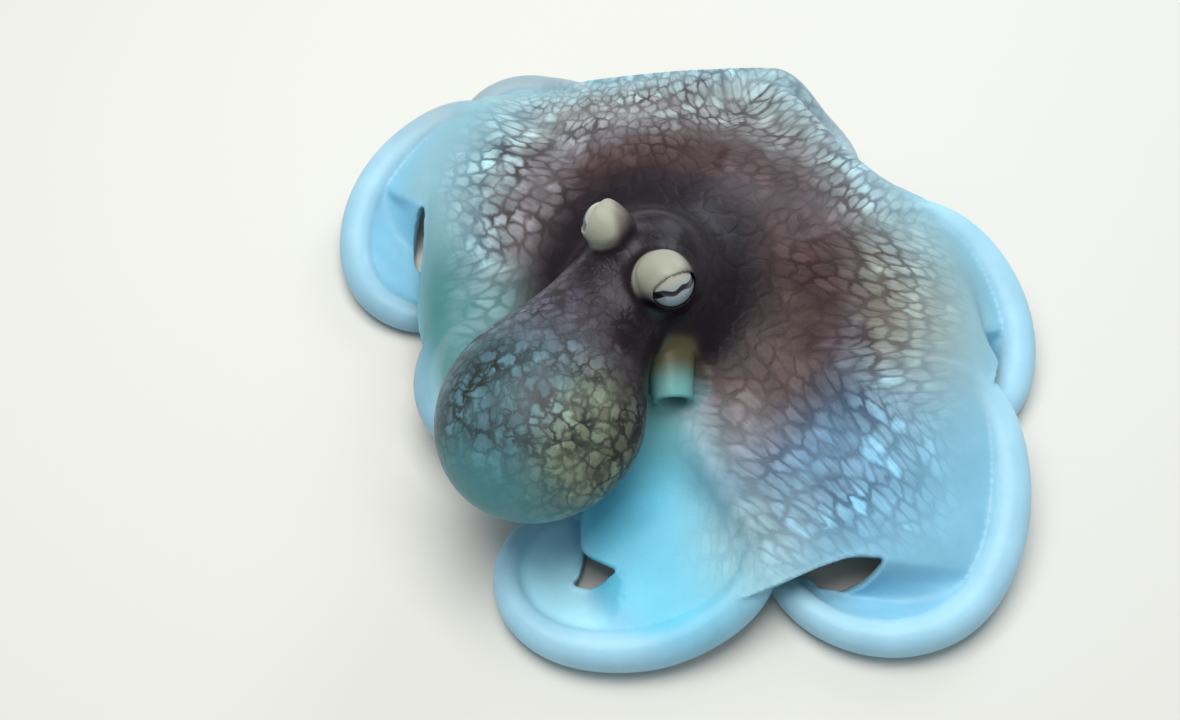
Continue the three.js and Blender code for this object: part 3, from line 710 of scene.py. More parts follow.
def set_points(mesh, points):
    """Puts body millimetres back into a mesh."""
    mesh.vertices.foreach_set("co", to_frame(points).astype(np.float32).ravel())
    mesh.update()


def edges_of(mesh):
    """The two vertices of every edge."""
    flat = np.zeros(len(mesh.edges) * 2, np.int32)
    mesh.edges.foreach_get("vertices", flat)
    return flat.reshape(-1, 2)


def triangle_count(mesh):
    """How many triangles a mesh's faces make."""
    return sum(len(face.vertices) - 2 for face in mesh.polygons)


print("shells to melt:", len(shells), "with", sum(len(faces) for _, faces, _ in shells), "faces")

# %% [markdown]
# ## Smoothing
# Flesh has no creases where an arm meets a web or the mantle meets the head. Blender's smoothing
# treats every place alike, but here the head has to be blended strongly, while the eyes' knobs,
# the funnel's mouth and the thin webs keep their shape. So each point gets its own share.

# %% Averaging
RELAX_SHRINK, RELAX_GROW = 0.5, 0.53


def averaged(values, edges, share):
    """Each value moved by `share` towards the mean of its neighbours along the edges."""
    count = np.bincount(edges.ravel(), minlength=len(values))
    columns = values.reshape(len(values), -1)
    total = np.stack([
        np.bincount(edges[:, 0], column[edges[:, 1]], len(values))
        + np.bincount(edges[:, 1], column[edges[:, 0]], len(values))
        for column in columns.T
    ], -1)
    mean = np.where(count[:, None] > 0, total / np.maximum(count, 1)[:, None], columns)
    return (columns + np.reshape(share, (-1, 1)) * (mean - columns)).reshape(values.shape)


def relaxed(points, edges, rounds):
    """Each round shrinks by RELAX_SHRINK of the way to the neighbours' mean and grows back by
    RELAX_GROW of it, so that nothing gets thinner."""
    for _ in range(rounds):
        points = averaged(averaged(points, edges, RELAX_SHRINK), edges, -RELAX_GROW)
    return points


lone_peak = averaged(np.array([0.0, 1.0, 0.0]), np.array([(0, 1), (1, 2)]), 0.5)
print("a peak of 1 between zeros, moved half way to its neighbours:", lone_peak)

# %% Blending head, mantle and webs
BLEND_MIDDLE = np.append(HEAD, 52.0)
BLEND_NEAR = 42.0  # distance from the middle up to which the blending is full
BLEND_FAR = 66.0
BLEND_SHARE = 0.6
BLEND_ROUNDS = 300
KNOB_MARGIN = 1.5  # past a knob's radius, where its own rule holds
KNOB_TILT = 0.8  # how much the spared side of a knob turns from up to the way the eye looks
FUNNEL_FREE = 6.0  # along the funnel, past which it isn't blended, and over how far that fades in
EYE_COVER = 0.7  # mm of skin that stays over the eyeball where it is blended


def blend_share(points, orbit, funnel):
    """BLEND_SHARE within BLEND_NEAR of the middle, eased to 0 at BLEND_FAR; 0 on the upper sides
    of the eyes' knobs and along the funnel."""
    free = 1 - ease(orbit / 0.3)
    for eye in EYES.values():
        facing = unit(points - eye["orbit"]) @ unit(UP + KNOB_TILT * eye["look"])
        near = np.linalg.norm(points - eye["orbit"], axis=1) < eye["knob"] + KNOB_MARGIN
        free = np.where(near, ease((0.1 - facing) / 0.5), free)
    along_funnel = (points - FUNNEL_BASE) @ FUNNEL_AXIS
    free = free * (1 - ease(funnel / 0.3) * ease((along_funnel - FUNNEL_FREE) / FUNNEL_FREE))
    off = np.linalg.norm(points - BLEND_MIDDLE, axis=1)
    return BLEND_SHARE * (1 - ease((off - BLEND_NEAR) / (BLEND_FAR - BLEND_NEAR))) * free


def blended(points, edges, share):
    """Plain averaging of the points whose share is over 0; then those that have sunk into an
    eyeball are moved out along its radius until EYE_COVER is over it."""
    inside = np.flatnonzero(share > 0)
    number = np.full(len(points), -1)
    number[inside] = np.arange(len(inside))
    local = number[edges]
    local = local[(local >= 0).all(1)]
    moved = points[inside]
    for _ in range(BLEND_ROUNDS):
        moved = averaged(moved, local, share[inside])
    for eye in EYES.values():
        middle = ball_middle(eye)
        covered = eye["eye"] + EYE_COVER
        off = moved - middle
        away = np.linalg.norm(off, axis=1, keepdims=True)
        moved = np.where(away < covered, middle + off / away * covered, moved)
    points = points.copy()
    points[inside] = moved
    return points


print("blended fully within", BLEND_NEAR, "mm and not at all past", BLEND_FAR, "mm")

# %% [markdown]
# ## One skin
# The shells overlap, as flesh does where an arm meets a web. A union of them would keep a sharp
# edge along every meeting. A voxel remesh turns them into one surface with no seams, and the
# smoothing rounds the joins. It runs finer than the skin needs, and a decimation then leaves
# small faces in the folds and larger ones on the webs.

# %% Melt the shells into the skin
VOXEL = 0.9
SKIN_TRIANGLES = 190_000
RELAX_ROUNDS = 6
TAG_ROUNDS = 10
TAG_SHARE = 0.6


def joined(parts):
    """Points, faces and tags of several shells as one, with the faces' numbers moved along."""
    starts = np.cumsum([0] + [len(points) for points, _, _ in parts[:-1]]).tolist()
    faces = []
    for (_, part_faces, _), start in zip(parts, starts):
        faces += [[corner + start for corner in face] for face in part_faces]
    return np.vstack([part[0] for part in parts]), faces, np.vstack([part[2] for part in parts])


points, faces, tags = joined(shells)
skin = new_object("skin", points, faces)
for column, tag in enumerate(TAGS):
    write_attribute(skin.data, tag, tags[:, column])
bpy.context.view_layer.objects.active = skin
skin.select_set(True)
skin.data.remesh_voxel_size = VOXEL / MM_PER_M
skin.data.remesh_voxel_adaptivity = 0
skin.data.use_remesh_fix_poles = False
skin.data.use_remesh_preserve_attributes = True
bpy.ops.object.voxel_remesh()
mesh = skin.data
print("remeshed faces:", len(mesh.polygons))

# %% Smooth the skin and its tags, and thin it
edges = edges_of(mesh)
points = relaxed(points_of(mesh), edges, RELAX_ROUNDS)
share = blend_share(points, read_attribute(mesh, "orbit"), read_attribute(mesh, "funnel"))
set_points(mesh, blended(points, edges, share))
for tag in TAGS:
    values = read_attribute(mesh, tag)
    for _ in range(TAG_ROUNDS):
        values = averaged(values, edges, TAG_SHARE)
    write_attribute(mesh, tag, values)
thin = skin.modifiers.new("fewer_faces", "DECIMATE")
thin.ratio = SKIN_TRIANGLES / (2 * len(mesh.polygons))
bpy.ops.object.modifier_apply(modifier=thin.name)
mesh = skin.data
mesh.shade_smooth()
print("skin triangles:", triangle_count(mesh))

# %% [markdown]
# ## Where the colours go
# The living pattern follows the anatomy. The skin is nearly black round the eyes, maroon in a
# patch beyond that, and then a dark net over pale cells. The net ends before the web's free
# margin, and past it the skin is smooth and pale blue. Painting this by hand would leave the
# back and the underside to be matched by eye. Instead each point's place is measured as a share
# of the distance from the head to the margin in its own direction, and smooth functions of that
# share mix the colours. The mantle is measured along its own axis.

# %% Measures on the body
TABLE_ROUNDING = np.linspace(-9, 9, 7)[:, None]  # degrees
MARGIN_STEP = 6  # degrees


def azimuth_of(points):
    """Degrees round the head, and distance from it in plan."""
    off = points[:, :2] - HEAD
    return np.degrees(np.arctan2(off[:, 1], off[:, 0])) % 360, np.linalg.norm(off, axis=1)


def round_the_head(azimuth, table):
    """A table of (azimuth, value) pairs, read with straight lines between them and averaged over
    18 degrees."""
    places, values = np.array(table, float).T
    return np.interp(azimuth[None] + TABLE_ROUNDING, places, values, period=360).mean(0)


def margin_table():
    """Distance from the head to the free margin, by azimuth."""
    azimuth, distance = azimuth_of(np.vstack(list(margins.values())))
    bins = (azimuth // MARGIN_STEP).astype(int)
    return [((k + 0.5) * MARGIN_STEP, distance[bins == k].max()) for k in np.unique(bins)]


points = points_of(mesh)
tag = {name: read_attribute(mesh, name) for name in TAGS}
azimuth, distance = azimuth_of(points)
margin = round_the_head(azimuth, margin_table())
share = distance / margin
mantle_axis = MANTLE_TIP - MANTLE_NECK
mantle_place = (points - MANTLE_NECK) @ mantle_axis / (mantle_axis @ mantle_axis)
mantle_aside = (points - MANTLE_NECK) @ unit(np.cross(UP, mantle_axis))
mantle_height = (points - MANTLE_NECK)[:, 2] - mantle_place * mantle_axis[2]
funnel_place = (points - FUNNEL_BASE) @ FUNNEL_AXIS / FUNNEL_LENGTH
print("margin distances, mm:", margin.min().round(), "to", margin.max().round())

# %% [markdown]
# ## The palette and the mixing
# Colours are written as sRGB and mixed in linear light. Three are worked out for each point:
# the smooth skin, the cells of the net and its lines. How strongly the net shows is a fourth
# measure. Real chromatophores do the same: sacs of dark pigment that open in a net between
# fields of pale reflecting skin.

# %% The palette
# the dark zones by the eyes
BLACK_PURPLE = "150d17"
MAROON = "2d1315"
RED_BROWN = "432a28"
# the net on the webs
CELL_CREAM = "959692"
CELL_MAUVE = "7c757b"
CELL_BLUE = "6089aa"
CELL_AQUA = "a2c4cc"
CELL_SKY = "86c2e6"
LINE_BROWN = "463d3b"
LINE_SLATE = "3e5f7d"
OCHRE = "968a68"
LINE_OCHRE = "5c4a30"
# the smooth skin of the webs, rims and lobes
AQUA = "8db9c6"
SKY = "82c0de"
RIM = "a4d4ea"
RIM_DORSAL = "98adb6"
RIM_LEFT = "92bed4"
LOBE = "b2ebff"
TEAL = "6fabaa"
CYAN = "6ccbe9"
LEFT_TEAL = "487f81"
# the underside's pale blue, darkened with painted shade for the space under the web
UNDERSIDE_SHADED = "7fa5b0"
# the mantle
MANTLE_CELL = "4f707a"
MANTLE_OLIVE = "75806c"
MANTLE_LINE = "262c2b"
MANTLE_TEAL = "518d93"
LAVENDER = "615f6e"
# the funnel and the lids
OLIVE = "585238"
CREAM_YELLOW = "9e9f90"
LID_BROWN = "6a655c"


def linear(code):
    """sRGB hex digits to linear light."""
    value = np.array([int(code[i:i + 2], 16) for i in (0, 2, 4)]) / 255
    return np.where(value <= 0.04045, value / 12.92, ((value + 0.055) / 1.055) ** 2.4)


def mix(below, above, share):
    """below + (above - below) x share, point by point; either may be hex digits."""
    below = linear(below) if isinstance(below, str) else below
    above = linear(above) if isinstance(above, str) else above
    return below + (above - below) * np.asarray(share)[:, None]


def fades(value, start, width):
    """1 up to start, 0 past start + width. An ease, in the same way, is written as
    (value - start) / width."""
    return 1 - ease((value - start) / width)


print("maroon in linear light:", linear(MAROON).round(4))

# %% [markdown]
# ## The dark zones
# The black and maroon patches reach further from the head on some sides than on others, so
# their ends are tables of a distance by azimuth. On the mantle they end along its axis.

# %% Black and maroon
# distance from the head at which each zone ends, by azimuth
BLACK_ENDS = [(320, 40), (7, 44), (49, 50), (81, 52), (110, 52), (140, 44), (180, 40), (250, 30), (285, 24)]
MAROON_ENDS = [(303, 42), (322, 70), (341, 80), (352, 84), (7, 82), (27, 92), (52, 95), (72, 90), (90, 86),
               (110, 68), (125, 50), (160, 42), (200, 44), (250, 34)]
MANTLE_LEAN = 0.009  # share of the mantle's length by which the dark reaches further, per mm aside

off_mantle = 1 - tag["mantle"]
piped = tag["funnel"] * ease((funnel_place + 0.05) / 0.2)
leaning = mantle_place - MANTLE_LEAN * mantle_aside
black = fades(distance / round_the_head(azimuth, BLACK_ENDS), 0.8, 0.5) * (1 - piped)
black = black * off_mantle + tag["mantle"] * fades(leaning, 0.02, 0.36)
maroon = fades(distance / round_the_head(azimuth, MAROON_ENDS), 0.75, 0.45)
maroon = maroon * off_mantle + tag["mantle"] * fades(leaning, 0.1, 0.45)


def darkened(colour, brown, depth, black_depth=1.0):
    """A colour under the maroon zone, as `depth` of a brown, and then under the black one."""
    return mix(mix(colour, brown, depth * maroon), BLACK_PURPLE, black_depth * black)


print("share of the skin that is black:", black.mean().round(3), "and maroon:", maroon.mean().round(3))

# %% [markdown]
# ## The smooth skin
# Past the net the skin is smooth: aqua and then sky blue towards the margin, paler on the arms'
# rims and in the lobes, teal on the left side, and teal to cyan on the web under the mantle. A
# warm patch of ochre lies on the right. Each of these has a side of the animal, so each is a
# table of a strength by azimuth times a share of the way to the margin.

# %% Smooth skin of the webs and arms
fade = round_the_head(azimuth, [
    (290, 0.8), (300, 0.77), (320, 0.7), (335, 0.62), (352, 0.64), (5, 0.66), (25, 0.74), (45, 0.8),
    (60, 0.9), (85, 0.9), (105, 0.78), (120, 0.68), (140, 0.6), (155, 0.62),
])  # share of the way to the margin at which the net starts to fade
ventral = round_the_head(azimuth, [(236, 0), (247, 1), (283, 1), (294, 0)]) * off_mantle
left = round_the_head(azimuth, [(146, 0), (160, 1), (205, 1), (230, 1), (245, 0)]) * off_mantle
dorsal = round_the_head(azimuth, [(30, 0), (48, 1), (125, 1), (142, 0)])
lobes = round_the_head(azimuth, [(225, 0), (235, 1), (285, 1), (300, 0)])
blue_side = 0.8 * round_the_head(azimuth, [(290, 0), (305, 1), (345, 1), (5, 0)])
ochre = round_the_head(azimuth, [(278, 0), (291, 0.5), (304, 0), (334, 0), (350, 1), (6, 0.7), (24, 0)])
ochre = ochre * ease((distance - 68) / 20) * fades(distance, 105, 35)

rim = mix(mix(RIM, RIM_DORSAL, dorsal), RIM_LEFT, left)
ventral_web = mix(mix(TEAL, CYAN, ease((share - 0.3) / 0.35)), SKY, ease((share - 0.95) / 0.2))
smooth = mix(AQUA, SKY, np.maximum(blue_side, ease((share - 0.93) / 0.15)))
smooth = mix(smooth, rim, tag["arm"] * ease((share - 0.9) / 0.12))
smooth = mix(smooth, mix(SKY, LOBE, lobes), tag["lip"] * (1 - tag["arm"]))
smooth = mix(smooth, LEFT_TEAL, left * fades(share, 0.9, 0.2))
smooth = mix(smooth, ventral_web, ventral * fades(share, 1.0, 0.2))
smooth = mix(smooth, OCHRE, 0.5 * ochre)
smooth = darkened(smooth, MAROON, 1 - ventral)
print("share of the skin with ochre in it:", (ochre > 0.1).mean().round(3))

# %% [markdown]
# ## The net's colours
# By the head the cells are mauve, further out cream, and on the right side blue. Towards the
# margin they turn to the colour of the smooth skin, and the lines between them pale to slate, so
# the net dies away and doesn't stop at an edge. In the dark zones both turn brown and black.

# %% Cells and lines on the webs
# how blue the net's cells are, and how strongly the net shows, by azimuth
BLUE_CELLS = [(288, 0.4), (300, 0.9), (335, 0.9), (352, 0.35), (15, 0.1), (90, 0.1), (150, 0.1), (280, 0.2)]
NET_SHOWS = [(158, 1), (172, 0.25), (205, 0.25), (232, 0.1), (250, 0), (284, 0), (296, 0.9), (310, 1)]

blue = round_the_head(azimuth, BLUE_CELLS) * ease((distance - 55) / 30)
cell = mix(mix(CELL_MAUVE, CELL_CREAM, ease((distance - 70) / 25)), CELL_BLUE, blue)
cell = mix(cell, mix(CELL_AQUA, CELL_SKY, blue_side), 0.7 * ease((share - fade + 0.12) / 0.2))
cell = darkened(mix(cell, OCHRE, 0.8 * ochre), RED_BROWN, 0.92, 0.95)
line = mix(LINE_BROWN, LINE_SLATE, np.maximum(blue, 0.8 * ease((share - fade + 0.05) / 0.25)))
line = darkened(mix(line, LINE_OCHRE, 0.8 * ochre), MAROON, 0.95)
net = fades(share, fade, 0.3) * round_the_head(azimuth, NET_SHOWS)
net = np.maximum(net, maroon * (1 - ventral)) * off_mantle
print("share of the webs' skin with the net:", net.mean().round(3))

# %% Cells and lines on the mantle
mantle_cell = mix(MANTLE_CELL, MANTLE_OLIVE, ease((mantle_aside - 1) / 20))
mantle_cell = mix(mantle_cell, LAVENDER, fades(mantle_place, 0.25, 0.35))
smooth = mix(smooth, darkened(MANTLE_TEAL, MAROON, 0.6), tag["mantle"])
cell = mix(cell, darkened(mantle_cell, MAROON, 0.5, 0.9), tag["mantle"])
line = mix(line, darkened(MANTLE_LINE, MAROON, 0.7), tag["mantle"])
net = net + tag["mantle"] * fades(mantle_place, 0.78, 0.25) * ease((mantle_height + 20) / 14)
print("share of the skin that is on the mantle:", tag["mantle"].mean().round(3))

# %% [markdown]
# ## Funnel, lids and underside
# Three places have a colour of their own, and two of them also carry painted shade. The funnel
# goes from olive to teal. The knobs are cream on their upper sides, with a brown patch on the left
# one, and painted shade darkens them to black below and at the sides, where their own dark skin
# also lies. The underside, which lies on the ground, is a pale blue darkened with painted shade
# for the space under the web.

# %% Funnel, lids and underside
PATCH_SIDE = unit(np.array([1.0, 0.1, 0.15]))  # the side of the left knob that is brown

smooth = mix(smooth, mix(OLIVE, TEAL, ease((funnel_place - 0.45) / 0.5)), piped)
net = net * (1 - piped)
below = ease((tag["under"] - 0.35) / 0.3)
for side, eye in EYES.items():
    off = (points - eye["orbit"]) / eye["knob"]
    towards = unit(off)
    reach = 1.08 + 0.25 * ease((towards @ eye["look"] - 0.1) / 0.3)
    on_lid = ease((reach - np.linalg.norm(off, axis=1)) / 0.08) * ease(tag["orbit"] / 0.5)
    # painted shade: each knob keeps its cream lid colour on the side that faces up towards the overhead
    # lamp, and turns black away from it, partly the knob's own dark skin
    lit = ease((towards @ eye["cream"] - 0.02) / 0.62)
    patch = ease((towards @ PATCH_SIDE - 0.1) / 0.4) * (side == "left")
    lid_and_shade = mix(mix(CREAM_YELLOW, LID_BROWN, patch), BLACK_PURPLE, 1 - lit)
    smooth = mix(smooth, lid_and_shade, on_lid)
    net = net * (1 - on_lid)
    below = below * (1 - on_lid)
# painted shade: the underside's pale blue is darkened as if it lay in the shade under the web
smooth = mix(smooth, UNDERSIDE_SHADED, below * (1 - black))
net = np.clip(net * (1 - below), 0, 1)
print("share of the skin with the net:", net.mean().round(3))

# %% [markdown]
# ## Coordinates for the net
# The cells are about 8 mm across by the head, and get narrower towards the margin, where they
# stream outwards. Coordinates that fan out from the head give that. A fan has to be cut
# somewhere, so there are two sets of fans, turned 45 degrees apart, and each one is faded out
# before it reaches its own cuts. The mantle is round, so there the cells use plain space.

# %% Fans of coordinates
CELL = 8.0  # mm across a cell by the head
MANTLE_CELL_SIZE = 5.0
FAN_REACH = 125.0  # distance over which the coordinates change
NARROWER = 1.1  # how much the cells narrow across the stream
LONGER = 0.1  # how much they lengthen along it
DROP = 0.6  # how much of a point's height counts as a way out from the head
FAN_OFFSET = 200.0  # mm between one fan's coordinates and the next one's
FAN_BLEND = (18.5, 8.0)  # degrees from a fan's middle at which the other set takes over, and over how many


def fan(first):
    """Across is r sin(d), times up to 1 + NARROWER; ahead is r, times down to 1 - LONGER, less
    DROP x height. r is the distance from the head and d the turn from the fan's middle."""
    turn = (azimuth - first + 45) % 90 - 45
    number = np.floor((azimuth - first + 45) / 90) % 4
    out = ease(distance / FAN_REACH)
    across = distance * np.sin(np.radians(turn)) * (1 + NARROWER * out) + FAN_OFFSET * number
    ahead = distance * (1 - LONGER * out) - DROP * points[:, 2]
    return np.stack([across, ahead, 0 * ahead], -1) / CELL, np.abs(turn)


fan_a, turn_a = fan(0)
fan_b, _ = fan(45)
blend = ease((turn_a - FAN_BLEND[0]) / FAN_BLEND[1])
attributes = {
    "net_a": fan_a,
    "net_b": fan_b,
    "skin_smooth": smooth,
    "skin_cell": cell,
    "skin_line": line,
    "measures": np.stack([blend, net, tag["mantle"]], -1),
}
for name, values in attributes.items():
    write_attribute(mesh, name, values, "FLOAT_VECTOR")
for name in TAGS:
    mesh.attributes.remove(mesh.attributes[name])
print("attributes on the skin:", [a.name for a in mesh.attributes if not a.name.startswith(".")])

# %% [markdown]
# ## The skin's material
# Living octopus skin is wet and a little translucent, with a fine grain. Its base is the smooth
# colour; over it goes the net: cells told apart by a Voronoi pattern, each a little lighter or
# darker than the next, with thin lines between them that a little noise bends. Lines alone, from
# a wave or a grid, would look woven: only cells that push against each other look alive.

# %% Nodes
def add(tree, kind, inputs=None, **settings):
    """A node with its settings. An input is a number, a colour, another node's output or a node,
    which stands for the first of its outputs that is in use."""
    node = tree.nodes.new("ShaderNode" + kind)
    for key, value in settings.items():
        setattr(node, key, value)
    for key, value in (inputs or {}).items():
        if isinstance(value, bpy.types.Node):
            value = next(socket for socket in value.outputs if socket.enabled)
        if isinstance(value, bpy.types.NodeSocket):
            tree.links.new(value, node.inputs[key])
        else:
            node.inputs[key].default_value = value
    return node


def new_material(name):
    """An empty node material: its tree, and its output node."""
    material = bpy.data.materials.new(name)
    material.use_nodes = True
    material.node_tree.nodes.clear()
    return material, material.node_tree, add(material.node_tree, "OutputMaterial")


def spans(value, low, high, first, last):
    """What a Map Range takes: a value between low and high, and what it is then to be between."""
    return {0: value, 1: low, 2: high, 3: first, 4: last}


def opaque(code):
    """Hex digits as a linear colour with full opacity."""
    return (*linear(code), 1)


print("deepest line as a node colour:", [round(float(x), 3) for x in opaque(MANTLE_LINE)])

# %% The net
LINE_HALF = 0.24  # half a line's width, as a share of a cell
LINE_DEPTH = 0.7
CORNER_SHADE_DEPTH = 0.6  # painted shade: how dark a cell's corners get, far from its middle
CORNER_SHADE_FADE = 0.5
STREAK_STRETCH = (2.6, 0.7, 2.0)  # finer across the stream, coarser along it


def net_layer(tree, coordinates, dimensions, middle, amount):
    """Nodes for how deep in a line a point is, from its distance to the nearest line, plus painted
    shade that darkens each cell towards its corners by the distance from its middle (clear within
    `middle`); a random grey for each cell; and fine streaks. The coordinates are first bent by
    `amount` of noise."""
    bend = add(tree, "TexNoise", {"Vector": coordinates, "Scale": 1.1, "Detail": 3.0})
    even = add(tree, "VectorMath", {0: bend.outputs["Color"], 1: (0.5, 0.5, 0.5)}, operation="SUBTRACT")
    bent = add(tree, "VectorMath", {0: even, 1: (amount,) * 3, 2: coordinates}, operation="MULTIPLY_ADD")
    settings = {"Vector": bent, "Scale": 1.0, "Randomness": 0.95}
    edge = add(tree, "TexVoronoi", settings, feature="DISTANCE_TO_EDGE", voronoi_dimensions=dimensions)
    cells = add(tree, "TexVoronoi", settings, feature="F1", voronoi_dimensions=dimensions)
    grey = add(tree, "SeparateColor", {0: cells.outputs["Color"]})
    rounded = {"interpolation_type": "SMOOTHSTEP"}
    by_line = spans(edge, 0.0, LINE_HALF, LINE_DEPTH, 0.0)
    # painted shade: each cell darkens from its middle towards its corners, which makes it look pillowy
    shade_by_middle = spans(cells.outputs["Distance"], middle, middle + CORNER_SHADE_FADE, 0.0, CORNER_SHADE_DEPTH)
    thin = add(tree, "MapRange", by_line, **rounded)
    corners = add(tree, "MapRange", shade_by_middle, **rounded)
    depth = add(tree, "Math", {0: thin, 1: corners}, operation="ADD")
    long = add(tree, "VectorMath", {0: coordinates, 1: STREAK_STRETCH}, operation="MULTIPLY")
    streaks = add(tree, "TexNoise", {"Vector": long, "Scale": 1.5, "Detail": 3.0})
    return depth, grey, streaks


skin_material, tree, output = new_material("octopus_skin")
read = {name: add(tree, "Attribute", attribute_name=name).outputs["Vector"] for name in attributes}
fan_share, net_share, mantle_share = add(tree, "SeparateXYZ", {0: read["measures"]}).outputs
body = add(tree, "TexCoord").outputs["Object"]
space = add(tree, "VectorMath", {0: body, 1: (MM_PER_M / MANTLE_CELL_SIZE,) * 3}, operation="MULTIPLY")
layers = zip(
    net_layer(tree, read["net_a"], "2D", 0.25, 0.9),
    net_layer(tree, read["net_b"], "2D", 0.25, 0.9),
    net_layer(tree, space, "3D", 0.4, 1.5),
)
chosen = []
for first, second, third in layers:
    fans = add(tree, "Mix", {0: fan_share, 2: first, 3: second}, data_type="FLOAT")
    chosen.append(add(tree, "Mix", {0: mantle_share, 2: fans, 3: third}, data_type="FLOAT"))
edge, grey, streaks = chosen
print("nodes in the skin's net:", len(tree.nodes))

# %% The skin's colours
cloud = add(tree, "TexNoise", {"Vector": body, "Scale": 55.0, "Detail": 3.0})
# the net's lines, with the painted shade towards the cells' corners in them
lines_and_corner_shade = add(tree, "MapRange", spans(edge, 0.0, 1.0, 0.0, 1.0))
uneven = add(tree, "MapRange", spans(cloud, 0.34, 0.66, 0.4, 1.05))
lines_and_corner_shade = add(tree, "Math", {0: lines_and_corner_shade, 1: uneven}, operation="MULTIPLY")

# each cell's own grey, a few much paler cells, streaks along the stream, and soft blotches
tone = add(tree, "MapRange", spans(grey, 0.0, 1.0, 0.82, 1.14))
pale = add(tree, "MapRange", spans(grey, 0.88, 0.94, 0.0, 0.3))
tone = add(tree, "Math", {0: tone, 1: pale}, operation="ADD")
streaked = add(tree, "MapRange", spans(streaks, 0.3, 0.7, 0.8, 1.18))
tone = add(tree, "Math", {0: tone, 1: streaked}, operation="MULTIPLY")
mottle = add(tree, "TexNoise", {"Vector": body, "Scale": 95.0, "Detail": 2.0})
blotched = add(tree, "MapRange", spans(mottle, 0.3, 0.7, 0.66, 1.24))
tone = add(tree, "Math", {0: tone, 1: blotched}, operation="MULTIPLY")
cells = add(tree, "VectorMath", {0: read["skin_cell"], 3: tone}, operation="SCALE")
tint = add(tree, "Mix", {0: grey, 6: (1.05, 0.97, 0.98, 1), 7: (0.96, 1.03, 1.02, 1)}, data_type="RGBA")
cells = add(tree, "VectorMath", {0: cells, 1: tint}, operation="MULTIPLY")
netted = add(tree, "Mix", {0: lines_and_corner_shade, 6: cells, 7: read["skin_line"]}, data_type="RGBA")
colour = add(tree, "Mix", {0: net_share, 6: read["skin_smooth"], 7: netted}, data_type="RGBA")
soft = add(tree, "MapRange", spans(cloud, 0.25, 0.75, 0.9, 1.08))
colour = add(tree, "VectorMath", {0: colour, 3: soft}, operation="SCALE")
print("nodes with the skin's colours:", len(tree.nodes))

# %% Octopus skin
# Wet living skin under a film of slime: the skin's own shine is broad and soft, the film adds a
# weak clear one, and light goes a few millimetres into the flesh. The net's lines are grooves.
# the skin's grain is 0.2 mm in life; it is drawn at 1.2 mm so that it can be seen
grain = add(tree, "TexNoise", {"Vector": body, "Scale": 820.0, "Detail": 2.0})
groove = add(tree, "Math", {0: lines_and_corner_shade, 1: net_share}, operation="MULTIPLY")
groove = add(tree, "Math", {0: groove, 1: -1.0}, operation="MULTIPLY")
height = add(tree, "Math", {0: grain, 1: 0.35, 2: groove}, operation="MULTIPLY_ADD")
shader = add(tree, "BsdfPrincipled", {
    "Base Color": colour,
    "Roughness": 0.42,
    "IOR": 1.38,
    "Subsurface Weight": 0.12,
    "Subsurface Radius": (0.6, 0.8, 1.0),
    "Subsurface Scale": 0.002,
    "Coat Weight": 0.12,
    "Coat Roughness": 0.25,
    "Specular IOR Level": 0.3,
    "Normal": add(tree, "Bump", {"Height": height, "Strength": 0.35, "Distance": 0.0006}),
})
tree.links.new(shader.outputs[0], output.inputs["Surface"])
mesh.materials.append(skin_material)
flesh = [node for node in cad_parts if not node.startswith("eye_")]
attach(skin, "root")
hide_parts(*flesh)
print("the skin replaces", len(flesh), "nodes")

# %% [markdown]
# ## Suckers
# Suckers stand in two staggered rows down the whole underside of each arm, and get smaller
# with it. Each is a cup with a rolled rim round a small hole. They could be scattered over the
# skin, but real ones keep their distance in step with the arm's thickness, so the running count
# along the arm places them. The arms roll outwards as they curl, so that the outer row comes up
# to the arm's outer edge and shows there.

# %% Suckers
SUCKER_PROFILE = np.array([(0.8, -0.25), (1.0, 0.08), (0.9, 0.3), (0.66, 0.22), (0.35, 0.02), (0.2, -0.15)])
SUCKER_SIDES = 8
SUCKER_SHARE = 0.42  # of the arm's radius
SUCKER_STEP = 0.47  # of the arm's radius, from one sucker to the next in the other row
SUCKER_ROW = 25.0  # degrees from the middle of the sole
FIRST_SUCKER = 14.0  # along the arm
LAST_SUCKER = 4.0  # before the arm's tip
OFF_GROUND = 0.03


def sucker_points(path):
    """Cup k stands where the running sum of ds / (SUCKER_STEP r) reaches k; its rings are the
    (radius, height) pairs of the profile times its own radius."""
    s = path["s"]
    radius = path["radius"]
    number = np.concatenate([[0], np.cumsum(np.diff(s) / (SUCKER_STEP * radius[1:]))])
    last = np.interp(path["total"] - LAST_SUCKER, s, number)
    count = np.arange(math.ceil(np.interp(FIRST_SUCKER, s, number)), int(last))
    place = np.interp(count, number, s)
    centre, radius, ahead, aside, over = sections(path, place)
    row = np.radians(SUCKER_ROW) * np.where(count % 2, 1, -1) + roll(place)
    out = -np.cos(row)[:, None] * over - path["side"] * np.sin(row)[:, None] * aside
    across = np.cross(out, ahead)
    own = SUCKER_SHARE * radius[:, None, None, None]
    turn = np.linspace(0, 2 * np.pi, SUCKER_SIDES, endpoint=False)
    ring = np.cos(turn)[:, None] * ahead[:, None, None] + np.sin(turn)[:, None] * across[:, None, None]
    foot = centre + out * (1 - SOLE) * radius[:, None]
    wide, high = SUCKER_PROFILE.T
    shape = wide[:, None, None] * ring + high[:, None, None] * out[:, None, None]
    points = foot[:, None, None] + own * shape
    points[..., 2] = np.maximum(points[..., 2], OFF_GROUND)
    return points


cups = np.concatenate([sucker_points(path) for path in paths.values()])
rows, columns = cups.shape[1:3]
middles = cups[:, [0, -1]].mean(2)
points = np.concatenate([cups.reshape(len(cups), -1, 3), middles], 1).reshape(-1, 3)
pattern = ring_faces(rows, columns)
starts = range(0, len(points), rows * columns + 2)
faces = [[corner + start for corner in face] for start in starts for face in pattern]
suckers = new_object("suckers", points, faces)
suckers.data.shade_smooth()
print("suckers:", len(cups), "triangles:", triangle_count(suckers.data))

